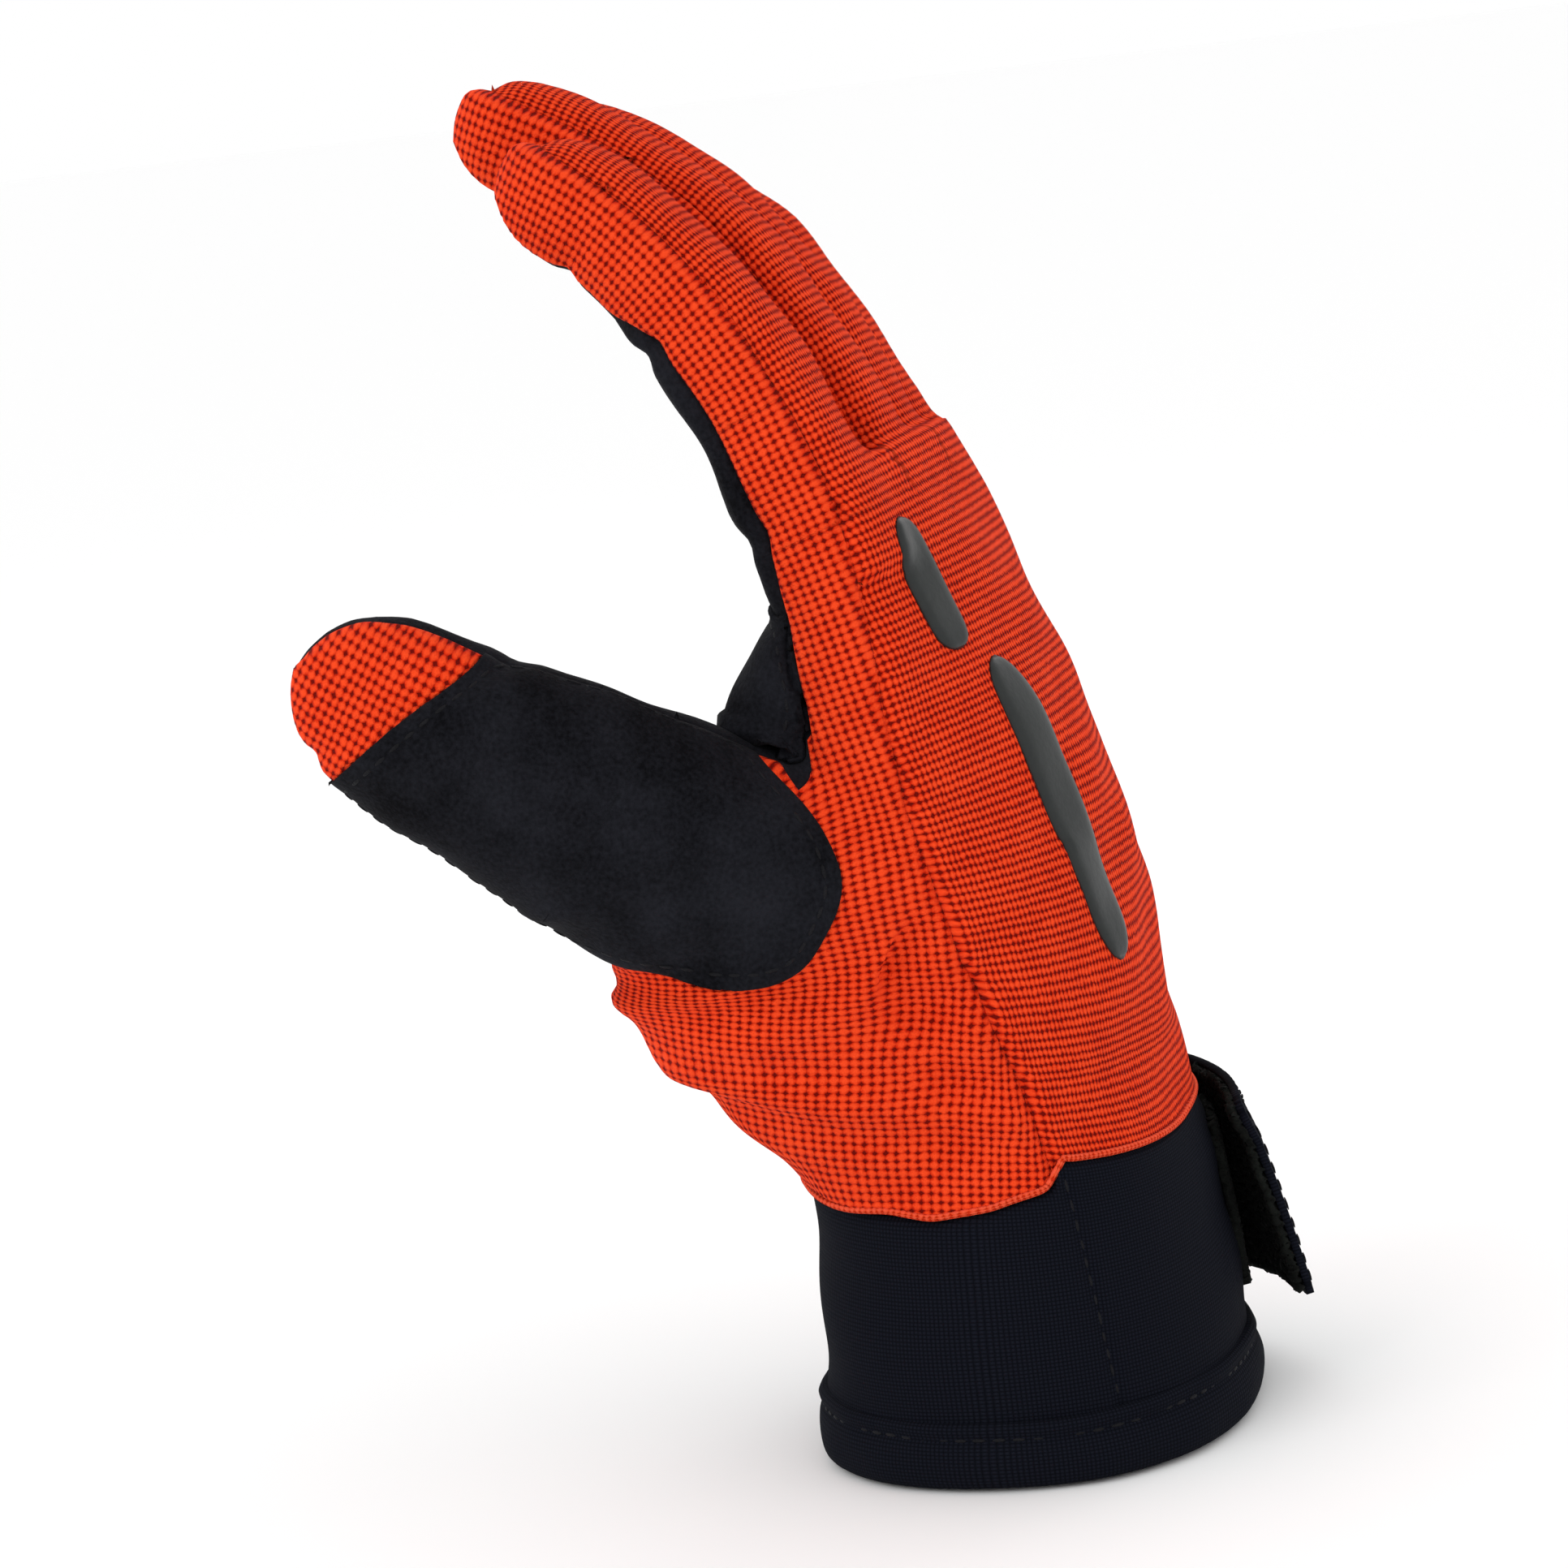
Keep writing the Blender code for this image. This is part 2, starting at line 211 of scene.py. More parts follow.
spine_line, spine_length = smooth_path(SPINE)
spine_length = spine_length - 25
spine_run = unit(np.gradient(spine_line, axis=0))
thumb_line, thumb_length = smooth_path(THUMB)
thumb_run = unit(np.gradient(thumb_line[:, :3], axis=0))
thumb_back = np.array([0.15, -1.0, 0.0]) - thumb_run * (thumb_run @ [0.15, -1.0, 0.0])[:, None]
thumb_back = unit(thumb_back)
thumb_side = np.cross(thumb_run, thumb_back)


def table(s, column):
    """A column of the hand's sections, read at s."""
    return np.interp(s, HAND[:, 0], HAND[:, column])


def spine_at(s):
    """Points on the spine and the directions to the back, for an array of s."""
    s = np.atleast_1d(np.asarray(s, float))
    x, z, dx, dz = (np.interp(s, spine_length, column)
                    for column in (*spine_line.T, *spine_run.T))
    zero = np.zeros_like(s)
    return np.stack([x, zero, z], 1) + MOUTH, unit(np.stack([dz, zero, -dx], 1))


def oval(angle, wide, deep):
    """A rounded section's points, as (towards the back, across the hand)."""
    a = np.radians(angle)
    c, s = np.cos(a), np.sin(a)
    return (deep * np.sign(c) * np.abs(c) ** (2 / SUPER),
            -wide * np.sign(s) * np.abs(s) ** (2 / SUPER))


def hand_form(s, angle, lift=0.0):
    """The hand's surface for arrays of s and angle, raised by lift."""
    s = np.asarray(s, float)
    deep = np.where(np.cos(np.radians(angle)) < 0, table(s, 3), table(s, 2))
    n, y = oval(angle, table(s, 1) + lift, deep + lift)
    n = n - table(s, 4) * (y / table(s, 1)) ** 2
    origin, out = spine_at(s)
    return origin + n[:, None] * out + y[:, None] * np.array([0, 1, 0])


def round_cap(left, reach):
    """Falls from 1 to 0 as a ball's outline does, where less than reach is left."""
    share = np.clip(left / reach, 0, 1)
    return np.sqrt(np.maximum(0, 1 - (1 - share) ** 2))


def finger_sizes(f, s):
    """Half width and half depth of a finger at s, closing round at its tip."""
    along = (s - KNUCKLE_S) / (f["tip"] - KNUCKLE_S)
    cap = round_cap(f["tip"] - s, FINGER_CAP)
    return f["wide"] * (1 - 0.06 * along) * cap, f["deep"] * (1 - 0.22 * along) * cap


def finger_form(f):
    """A finger's surface, as a function of arrays of s and angle."""
    def form(s, angle):
        wide, deep = finger_sizes(f, s)
        n, y = oval(angle, np.maximum(wide, 0.3), np.maximum(deep, 0.3))
        origin, out = spine_at(s)
        return origin + (n - f["drop"])[:, None] * out + (y + f["y"])[:, None] * np.array([0, 1, 0])
    return form


def thumb_at(t):
    """Centre, run, back, side and radius of the thumb for an array of t."""
    t = np.atleast_1d(np.asarray(t, float))
    inside = np.clip(t, 0, thumb_length[-1])

    def at(columns):
        return np.stack([np.interp(inside, thumb_length, c) for c in columns.T], 1)
    run, back, side = unit(at(thumb_run)), unit(at(thumb_back)), unit(at(thumb_side))
    centre = at(thumb_line[:, :3]) + MOUTH + run * (t - inside)[:, None]
    radius = np.interp(inside, thumb_length, thumb_line[:, 3])
    return centre, run, back, side, radius


def thumb_form(t, angle):
    """The thumb's surface for arrays of t and angle."""
    centre, _, back, side, radius = thumb_at(t)
    cap = round_cap(THUMB_END - t, THUMB_CAP)
    n, y = oval(angle, np.maximum(radius * cap, 0.3), np.maximum(radius * THUMB_FLAT * cap, 0.3))
    return centre + n[:, None] * back + y[:, None] * side


print("spine:", round(float(spine_length[-1])), "mm, thumb:", round(float(thumb_length[-1])), "mm")


# %% [markdown]
# ## One skin for the whole hand
# Tubes are laid on the lines: one for the palm, four for the fingers, one for
# the thumb. Voxel remeshing melts them into one skin, and a smoothing pass
# rounds the forks between them as stretched cloth does.

# %% Lay tubes and melt them together
VOXEL = 1.25
TUBE_STEP, CAP_STEP = 3, 1.2


def tube(bm, form, stations, around):
    """Add a closed tube to the bmesh: a grid bent round a form and capped."""
    made = bmesh.ops.create_grid(bm, x_segments=len(stations) - 1, y_segments=around, size=0.5)
    verts = made["verts"]
    flat = np.array([v.co for v in verts])
    s = np.interp(flat[:, 0] + 0.5, np.linspace(0, 1, len(stations)), stations)
    for v, p in zip(verts, form(s, 360 * (flat[:, 1] + 0.5))):
        v.co = p * MM
    bmesh.ops.remove_doubles(bm, verts=verts, dist=0.00002)
    rims = [e for v in verts if v.is_valid for e in v.link_edges if e.is_boundary]
    bmesh.ops.holes_fill(bm, edges=list(set(rims)), sides=0)


def to_object(bm, name):
    mesh = bpy.data.meshes.new(name)
    bm.to_mesh(mesh)
    bm.free()
    o = bpy.data.objects.new(name, mesh)
    bpy.context.collection.objects.link(o)
    return o


def applied(o):
    """The object's mesh with its modifiers applied, and the object removed."""
    graph = bpy.context.evaluated_depsgraph_get()
    mesh = bpy.data.meshes.new_from_object(o.evaluated_get(graph))
    bpy.data.objects.remove(o, do_unlink=True)
    return mesh


# the ball of the thumb: x, y and z from the cuff's mouth, and radius
HEEL = [(-38, -33, 93, 14), (-35, -32, 85, 18), (-27, -29, 75, 20), (-17, -24, 62, 19.5),
        (-11, -20, 51, 18.5), (-9, -16, 40, 17), (-8, -14, 33, 17)]


def heel_form(t, angle):
    """The ball of the thumb, running down the palm from the thumb's root to the wrist."""
    line, length = smooth_path(HEEL)
    x, y, z, radius = (np.interp(t, length, c) for c in line.T)
    turn = np.radians(angle)
    return (np.stack([x, y, z], 1) + MOUTH
            + (radius * np.cos(turn))[:, None] * unit(np.array([1.0, 0.2, 0.45]))
            + (radius * np.sin(turn))[:, None] * np.array([-0.18, 1.0, 0.0]))


def grow_skin():
    """The mesh of the melted and smoothed tubes."""
    bm = bmesh.new()
    tube(bm, heel_form, np.arange(0, 62, TUBE_STEP), 32)
    tube(bm, hand_form, np.r_[34:150:TUBE_STEP, 151, 154, 156], 72)
    for f in FINGERS.values():
        tip = f["tip"]
        cap = tip - FINGER_CAP
        tube(bm, finger_form(f), np.r_[140:cap:TUBE_STEP, cap:tip:CAP_STEP, tip - 0.2], 32)
    tube(bm, thumb_form, np.r_[THUMB_START:66:TUBE_STEP, 66:THUMB_END:CAP_STEP, THUMB_END - 0.2], 40)
    bmesh.ops.recalc_face_normals(bm, faces=bm.faces)
    o = to_object(bm, "skin")
    remesh = o.modifiers.new("melt", "REMESH")
    remesh.mode = "VOXEL"
    remesh.voxel_size = VOXEL * MM
    smooth = o.modifiers.new("round_forks", "SMOOTH")
    smooth.factor = 0.5
    smooth.iterations = 8
    return applied(o)


skin = grow_skin()
print("skin:", len(skin.vertices), "vertices")


# %% [markdown]
# ## Where a point of the skin lies
# Panels, seams and the knit all follow the hand. So each point of the skin is
# given the numbers a pattern cutter would use: how far along the hand or thumb
# it is, how far towards the back, and how far across.

# %% Measure every point against the lines
FINGER_LIST = list(FINGERS.values())
FINGER_Y = np.array([f["y"] for f in FINGER_LIST])


def smoothstep(x, low, high):
    """From 0 at low to 1 at high, with a soft start and end."""
    t = np.clip((x - low) / (high - low), 0, 1)
    return t * t * (3 - 2 * t)


def nearest(points, line, run):
    """Index of the nearest sample of a line, and the distance past it along its run."""
    index = np.zeros(len(points), int)
    for start in range(0, len(points), 4000):
        part = points[start:start + 4000]
        gap = ((part[:, None, :] - line[None]) ** 2).sum(2)
        index[start:start + 4000] = gap.argmin(1)
    return index, ((points - line[index]) * run[index]).sum(1)


def measure(points):
    """A dictionary of arrays for an array of points in millimetres.

    Along the hand it is s, with n towards the back, y across and level from -1
    at the palm to 1 at the back. Along the thumb it is t, with a and b around.
    """
    local = points - MOUTH
    flat = local[:, [0, 2]]
    index, past = nearest(flat, spine_line, spine_run)
    s = spine_length[index] + past
    out = np.stack([spine_run[index, 1], -spine_run[index, 0]], 1)
    n = ((flat - spine_line[index]) * out).sum(1)
    y = local[:, 1]
    flat_n = n + table(s, 4) * (y / table(s, 1)) ** 2
    deep = np.where(flat_n > 0, table(s, 2), table(s, 3))
    hand_round = ((np.abs(flat_n) / deep) ** SUPER + (np.abs(y) / table(s, 1)) ** SUPER) ** (1 / SUPER)
    which = np.abs(y[:, None] - FINGER_Y[None]).argmin(1)
    finger_n = n + np.array([f["drop"] for f in FINGER_LIST])[which]
    finger_y = y - FINGER_Y[which]
    finger_deep = np.array([f["deep"] for f in FINGER_LIST])[which]
    in_finger = smoothstep(s, *FINGER_BLEND)
    level = (1 - in_finger) * flat_n / deep + in_finger * finger_n / finger_deep
    stations = np.linspace(THUMB_START, THUMB_END, 240)
    centre, run, back, side, radius = thumb_at(stations)
    k, past = nearest(points, centre, run)
    away = points - centre[k]
    t = stations[k] + past
    a, b = (away * back[k]).sum(1), (away * side[k]).sum(1)
    return dict(s=s, n=n, y=y, level=level, deep=deep, hand_round=hand_round, which=which,
                finger_n=finger_n, finger_y=finger_y, t=t, a=a, b=b, radius=radius[k],
                thumb_far=np.hypot(a, b) / radius[k])


# %% [markdown]
# ## Seam lines
# A seam is a line where some measure passes through zero. The back panel ends
# where the surface stops facing back; the palm begins lower down; the suede
# patch on the thumb is a long tongue with a round end and a slanted front edge.

# %% The seams as signed distances, in millimetres
BACK_SEAM = [(47, .46), (62, .35), (80, .12), (100, .15), (120, .27), (140, .45), (156, .60)]
PALM_SEAM = [(47, -.92), (85, -.88), (100, -.55), (110, -.42), (125, -.5), (140, -.62), (156, -.55)]
FAR_BACK_SEAM, FAR_PALM_SEAM = 0.55, -0.5
ROOT_CUT = 149.0
STAGE_CUT = 169.0
THUMB_STAGE_CUT = 30.0
# the thumb's patch: where its round end and its slanted front lie, and its half width
PATCH_END, PATCH_FRONT, PATCH_SLANT, PATCH_HALF = -5, 61, 0.41, 19
# the patch at the crotch of the thumb: its middle and its half sizes
WEB_Y, WEB_S, WEB_WIDE, WEB_TALL = -20, 123, 18, 19
# the red cloth's lower edge: s at each level round the cuff, and its step at the back
SLEEVE_TOP = [(-1.0, 44.5), (-0.6, 42.5), (-0.2, 41.0), (0.1, 42.5), (0.46, 46.0)]
SLEEVE_RISE = 4.2
# what a seam says where it doesn't reach
NO_SEAM = -9.0


def seam_level(m, keys, far):
    """The level of a seam: drawn by keys on the thumb side, plain on the far side."""
    near = np.interp(m["s"], *np.array(keys).T)
    across = smoothstep(m["y"], -12, 12) * (1 - smoothstep(m["s"], *FINGER_BLEND))
    return near * (1 - across) + far * across


def back_seam(m):
    """Positive where the surface belongs to the back panel."""
    return (m["level"] - seam_level(m, BACK_SEAM, FAR_BACK_SEAM)) * m["deep"]


def palm_seam(m):
    """On the ball of the thumb the seam runs down the palm; above it, along the side."""
    side = (seam_level(m, PALM_SEAM, FAR_PALM_SEAM) - m["level"]) * m["deep"]
    ball = np.minimum(m["y"] + 20, side + 25)
    share = 1 - smoothstep(m["s"], 92, 108)
    seam = np.where(m["y"] < 5, share * ball + (1 - share) * side, side)
    tip = smoothstep(m["s"], 186, 200)
    under_tip = np.minimum(side, m["finger_y"] + 3)
    return np.where((m["finger_y"] < 0) & (m["s"] > 160), (1 - tip) * seam + tip * under_tip, seam)


def on_thumb(m):
    """Positive where the skin has left the hand's own form for the thumb."""
    near = (m["t"] > -6) & (m["thumb_far"] < 1.5) & ((m["s"] < 140) | (m["t"] > 40)) & (m["y"] < 0)
    return np.where(near, (m["hand_round"] - 1.10) * 22, NO_SEAM)


def thumb_back_seam(m):
    """Positive on the half of the thumb that faces away from the palm."""
    near = (m["t"] > -15) & (m["thumb_far"] < 1.5) & (m["y"] < -8)
    under = (1 - smoothstep(m["t"], 6, 24)) * smoothstep(-m["b"], 0, 8)
    return np.where(near, m["a"] - (0.10 - 0.95 * under) * m["radius"], NO_SEAM)


def patch_end(m):
    """Positive beyond the round end of the thumb's patch."""
    upper = 18 * np.clip(m["b"] / PATCH_HALF, 0, 1.3) ** 4
    lower = 30 * np.clip(-m["b"] / PATCH_HALF, 0, 1.3) ** 2.6
    return m["t"] - PATCH_END - upper - lower


def patch_front(m):
    """Positive behind the slanted front edge of the thumb's patch."""
    return PATCH_FRONT - PATCH_SLANT * m["b"] - m["t"]


def web_edge(m):
    """Inside the reinforcing patch on the palm between the thumb and the index finger."""
    across = np.abs((m["y"] - WEB_Y) / WEB_WIDE) ** 4
    along = np.abs((m["s"] - WEB_S) / WEB_TALL) ** 4
    return np.where(m["level"] < -0.15, (1 - across - along) * 8, NO_SEAM)


def cuff_top(level):
    """The height of the red cloth's lower edge, which sags in the middle of the side."""
    return np.interp(level, *np.array(SLEEVE_TOP).T)


def cuff_line(m):
    """How far above the cuff's seam a point is; the back panel is cut higher."""
    return m["s"] - cuff_top(m["level"]) - SLEEVE_RISE * smoothstep(back_seam(m), -0.8, 0.8)


# %% Cut the skin along the seams
def positions(bm):
    return np.array([v.co for v in bm.verts]) / MM


def cut_along(bm, seam):
    """Split every face that a seam crosses, so that edges run along the seam."""
    bm.verts.index_update()
    value = list(seam(measure(positions(bm))))
    new = set()
    for e in [e for e in bm.edges if value[e.verts[0].index] * value[e.verts[1].index] < 0]:
        start, end = (value[v.index] for v in e.verts)
        share = min(max(start / (start - end), 0.04), 0.96)
        first = e.verts[0]
        _, v = bmesh.utils.edge_split(e, first, share)
        new.add(v)
    for f in {f for v in new for f in v.link_faces}:
        ends = [v for v in f.verts if v in new]
        if len(ends) == 2:
            bmesh.utils.face_split(f, ends[0], ends[1])


SEAMS = [back_seam, palm_seam, on_thumb, thumb_back_seam, patch_end, patch_front,
         lambda m: m["s"] - ROOT_CUT, lambda m: m["s"] - STAGE_CUT,
         lambda m: np.where(on_thumb(m) > 0, m["t"] - THUMB_STAGE_CUT, NO_SEAM), cuff_line, web_edge]
bm = bmesh.new()
bm.from_mesh(skin)
for seam in SEAMS:
    cut_along(bm, seam)
bmesh.ops.triangulate(bm, faces=[f for f in bm.faces if len(f.verts) > 4])
print("cut skin:", len(bm.faces), "faces")


# %% [markdown]
# ## Pull in the seams and raise the folds
# Sewing pulls a seam below the cloth on each side of it, so the skin sinks in a
# narrow valley along each one. Slack cloth also gathers: at the wrist above the
# cuff, at the thumb's root and inside the knuckles. The shaping is only run once
# the faces have their panels' names, because it moves the seams a little.

# %% Shape the surface
WRIST_FOLD, ROOT_FOLD, KNUCKLE_FOLD, SLACK = 1.1, 0.9, 0.9, 0.28
# where the cloth creases inside a knuckle, as s, and how wide each crease is
CREASES = [(186, 2.2), (207, 2.0), (152, 2.5)]
SEAM_DEPTH, SEAM_LIP, THUMB_SEAM_DEPTH = 1.15, 0.35, 0.6


def valley(distance, width):
    """A bell curve: 1 at no distance, and soon 0 beyond the width."""
    return np.exp(-(distance / width) ** 2)


def folds(m):
    """Height of the slack cloth's folds, in millimetres."""
    near = smoothstep(-m["y"], 5, 25) * (1 - smoothstep(m["level"], 0.1, 0.5))
    wrist = WRIST_FOLD * np.cos((m["s"] - 57 + 0.10 * m["n"]) * 0.62) * valley(m["s"] - 58, 8) * near
    root = ROOT_FOLD * np.cos((m["s"] - 0.5 * m["n"] - 84) * 0.42) * valley(m["s"] - 76, 12) * near
    inside = 1 - smoothstep(m["level"], -0.5, 0.1)
    knuckle = -KNUCKLE_FOLD * sum(valley(m["s"] - s, width) for s, width in CREASES) * inside
    slack = SLACK * (np.sin(0.21 * m["s"] + 0.16 * m["y"])
                     + np.sin(0.33 * m["s"] - 0.23 * m["y"] + 1.3) * np.cos(0.17 * m["n"]))
    return wrist + root + knuckle + slack


def shape_skin(bm):
    """Move the skin's vertices in and out along their normals."""
    bm.normal_update()
    m = measure(positions(bm))
    hand_seams = np.minimum(np.abs(back_seam(m)), np.abs(palm_seam(m)))
    covered = (m["thumb_far"] < 1.25) & (m["t"] > 2)
    beside = SEAM_LIP * valley(hand_seams - 2.6, 1.3)
    rise = folds(m) - (SEAM_DEPTH * valley(hand_seams, 1.1) - beside) * ~covered
    rise = rise - THUMB_SEAM_DEPTH * valley(thumb_back_seam(m), 1.2) * (m["t"] > 4)
    raise_cloth(bm, rise)


# %% [markdown]
# ## Finishes
# Knit is a grid of small plump loops, and painted shade darkens the hollows
# between them. On the back the loops line up in ribs across the hand. Both read
# a cloth map in centimetres that is laid along each panel, so the knit turns with
# the fingers. Suede is a fine nap with soft light and dark patches, neoprene has
# a fine rib with painted shade in its grooves.

# %% Helpers for node materials
def new_material(name, roughness, sheen=0.0, gloss=0.12):
    m = bpy.data.materials.new(name)
    m.use_nodes = True
    shader = m.node_tree.nodes["Principled BSDF"]
    shader.inputs["Roughness"].default_value = roughness
    shader.inputs["Sheen Weight"].default_value = sheen
    shader.inputs["Sheen Roughness"].default_value = 0.5
    shader.inputs["Specular IOR Level"].default_value = gloss
    return m, shader


class Graph:
    """A short way to write a chain of math nodes in one node tree."""

    def __init__(self, tree):
        self.tree = tree

    def node(self, kind, **settings):
        made = self.tree.nodes.new(kind)
        for key, value in settings.items():
            setattr(made, key, value)
        return made

    def feed(self, socket, value):
        if isinstance(value, bpy.types.NodeSocket):
            self.tree.links.new(value, socket)
        else:
            socket.default_value = value

    def math(self, operation, a, b=0.0):
        made = self.node("ShaderNodeMath", operation=operation)
        self.feed(made.inputs[0], a)
        self.feed(made.inputs[1], b)
        return made.outputs[0]

    def noise(self, vector, scale, detail=3.0):
        made = self.node("ShaderNodeTexNoise")
        self.feed(made.inputs["Vector"], vector)
        made.inputs["Scale"].default_value = scale
        made.inputs["Detail"].default_value = detail
        return made.outputs["Fac"]

    def wobble(self, vector, scale, amount, detail=3.0):
        """Noise that swings as far below zero as above it."""
        return self.math("MULTIPLY", self.math("SUBTRACT", self.noise(vector, scale, detail), 0.5), amount)

    def rows(self, place, pitch=1.0):
        """Rounded rows, one to each pitch: 0 between them and 1 on their crests."""
        return self.math("ABSOLUTE", self.math("SINE", self.math("MULTIPLY", place, math.pi / pitch)))

    def ramp(self, value, stops):
        made = self.node("ShaderNodeValToRGB")
        self.feed(made.inputs["Fac"], value)
        while len(made.color_ramp.elements) < len(stops):
            made.color_ramp.elements.new(0.5)
        for element, (place, colour) in zip(made.color_ramp.elements, stops):
            element.position = place
            element.color = (*colour, 1)
        return made.outputs["Color"]

    def bump(self, height, strength, distance):
        made = self.node("ShaderNodeBump")
        self.feed(made.inputs["Height"], height)
        made.inputs["Strength"].default_value = strength
        made.inputs["Distance"].default_value = distance
        return made.outputs["Normal"]


def new_group(name, inputs, outputs):
    """A node group with named sockets: its tree, its graph, and what goes in and out."""
    tree = bpy.data.node_groups.new(name, "ShaderNodeTree")
    for label, kind, value in inputs:
        socket = tree.interface.new_socket(label, in_out="INPUT", socket_type=kind)
        if value is not None:
            socket.default_value = value
    for label, kind in outputs:
        tree.interface.new_socket(label, in_out="OUTPUT", socket_type=kind)
    graph = Graph(tree)
    return tree, graph, graph.node("NodeGroupInput").outputs, graph.node("NodeGroupOutput").inputs


# %% The knit's loops, as a node group
def knit_group():
    """Loops in a grid: height, and light-to-dark from a map in centimetres; the dark is painted shade in
    the hollows between loops, mixed with random blotches.
    """
    tree, g, given, out = new_group(
        "knit_loops",
        [("Map", "NodeSocketVector", None), ("Across Pitch", "NodeSocketFloat", 0.15),
         ("Along Pitch", "NodeSocketFloat", 0.15), ("Rib", "NodeSocketFloat", 0.0)],
        [("Height", "NodeSocketFloat"), ("Light", "NodeSocketFloat")])
    place = g.node("ShaderNodeSeparateXYZ")
    g.feed(place.inputs[0], given["Map"])
    wander = g.wobble(given["Map"], 7.0, 0.06)
    across = g.math("DIVIDE", g.math("ADD", place.outputs[0], wander), given["Across Pitch"])
    along = g.math("DIVIDE", g.math("ADD", place.outputs[1], wander), given["Along Pitch"])
    gap_u, gap_v = (g.math("SUBTRACT", 1.0, g.math("POWER", g.rows(place), 0.7))
                    for place in (across, along))
    pit = g.math("MULTIPLY", g.math("MULTIPLY", gap_u, gap_v), 1.5)
    groove = g.math("ADD", g.math("MULTIPLY", gap_v, g.math("ADD", given["Rib"], 0.35)),
                    g.math("MULTIPLY", gap_u, 0.38))
    loops = g.math("MAXIMUM", g.math("SUBTRACT", 1.0, g.math("ADD", pit, groove)), 0.0)
    face = g.math("ADD", loops, g.wobble(given["Map"], 30.0, 0.55, 4.0))
    g.feed(out["Height"], face)
    blotches = g.wobble(given["Map"], 1.6, 0.35)
    g.feed(out["Light"], g.math("ADD", g.math("MULTIPLY", face, 0.95), blotches))
    return tree


KNIT_LOOPS = knit_group()
# how deep the reliefs look, in metres
LOOP_RELIEF, NAP_RELIEF, RIB_RELIEF = 0.0006, 0.0004, 0.0003


def knit(name, pit_shade, middle, tops, across, along, rib):
    """A knit of three colours, the first painted shade in the hollows between its loops; across and along
    are its loops' sizes in centimetres.
    """
    m, shader = new_material(name, 0.92, sheen=0.01, gloss=0.06)
    g = Graph(m.node_tree)
    cloth = g.node("ShaderNodeUVMap", uv_map="cloth").outputs[0]
    loops = g.node("ShaderNodeGroup", node_tree=KNIT_LOOPS)
    g.feed(loops.inputs["Map"], cloth)
    loops.inputs["Across Pitch"].default_value = across
    loops.inputs["Along Pitch"].default_value = along
    loops.inputs["Rib"].default_value = rib
    colour = g.ramp(loops.outputs["Light"], [(0.08, pit_shade), (0.5, middle), (0.92, tops)])
    g.feed(shader.inputs["Base Color"], colour)
    g.feed(shader.inputs["Normal"], g.bump(loops.outputs["Height"], 0.9, LOOP_RELIEF))
    return m


# the first red is painted shade in the hollows between the loops; the ramp lightens towards the loops'
# tops
RED_PIT_SHADE, RED_MID, RED_TOP = (0.16, 0.003, 0.001), (0.62, 0.018, 0.002), (0.92, 0.068, 0.014)
ribbed_knit = knit("red_ribbed_knit", RED_PIT_SHADE, RED_MID, RED_TOP, 0.088, 0.125, 0.25)
# the binding's knit has lighter painted shade: its hollows take the middle red
EDGE_RED = (0.86, 0.10, 0.045)
edge_knit = knit("red_edge_knit", RED_MID, RED_TOP, EDGE_RED, 0.10, 0.10, 0.0)
square_knit = knit("red_square_knit", RED_PIT_SHADE, RED_MID, RED_TOP, 0.155, 0.125, 0.0)


# %% Suede, neoprene, strap pile, rubber and thread
def napped(name, dark, light, roughness, grain, strength, gloss=0.08):
    """A brushed black cloth: a fine nap and soft, slightly lighter patches."""
    m, shader = new_material(name, roughness, sheen=0.01, gloss=gloss)
    g = Graph(m.node_tree)
    place = g.node("ShaderNodeTexCoord").outputs["Object"]
    nap = g.noise(place, grain, 5.0)
    patches = g.noise(place, 90.0, 3.0)
    tone = g.math("ADD", g.math("MULTIPLY", nap, 0.45), g.math("MULTIPLY", patches, 0.55))
    g.feed(shader.inputs["Base Color"], g.ramp(tone, [(0.35, dark), (0.68, light)]))
    g.feed(shader.inputs["Normal"], g.bump(nap, strength, NAP_RELIEF))
    return m


def fine_rib(name, dark, light):
    """The cuff's jersey face: fine ribs up and down the sleeve, painted shade darkening the grooves
    between ribs and rows, and a light fuzz.
    """
    m, shader = new_material(name, 0.92, sheen=0.0, gloss=0.05)
    g = Graph(m.node_tree)
    cloth = g.node("ShaderNodeUVMap", uv_map="cloth").outputs[0]
    place = g.node("ShaderNodeSeparateXYZ")
    g.feed(place.inputs[0], cloth)
    ribs, rows = g.rows(place.outputs[0], 0.07), g.rows(place.outputs[1], 0.06)
    fuzz = g.noise(cloth, 40.0, 4.0)
    face = g.math("ADD", g.math("MULTIPLY", g.math("MULTIPLY", ribs, rows), 0.6),
                  g.math("MULTIPLY", fuzz, 0.5))
    g.feed(shader.inputs["Base Color"], g.ramp(face, [(0.1, dark), (0.9, light)]))
    g.feed(shader.inputs["Normal"], g.bump(face, 0.5, RIB_RELIEF))
    return m


suede = napped("black_suede", (0.0014, 0.0014, 0.0024), (0.0125, 0.013, 0.0175), 0.9, 1500.0, 0.5)
strap_pile = napped("black_strap_pile", (0.003, 0.003, 0.003), (0.010, 0.012, 0.010), 0.95,
                    1100.0, 1.0)
# the dark end is painted shade in the grooves between ribs and rows, mixed with the fuzz's random tone
neoprene = fine_rib("black_neoprene", (0.0008, 0.0010, 0.0022), (0.0085, 0.0098, 0.0165))
thread = napped("black_thread", (0.002, 0.002, 0.003), (0.009, 0.009, 0.012), 0.7, 3000.0, 0.6, 0.15)
rubber = napped("dark_rubber_print", (0.008, 0.010, 0.010), (0.014, 0.017, 0.016), 0.38,
                900.0, 0.12, 0.3)
print("finishes:", ", ".join(sorted(m.name for m in bpy.data.materials)))

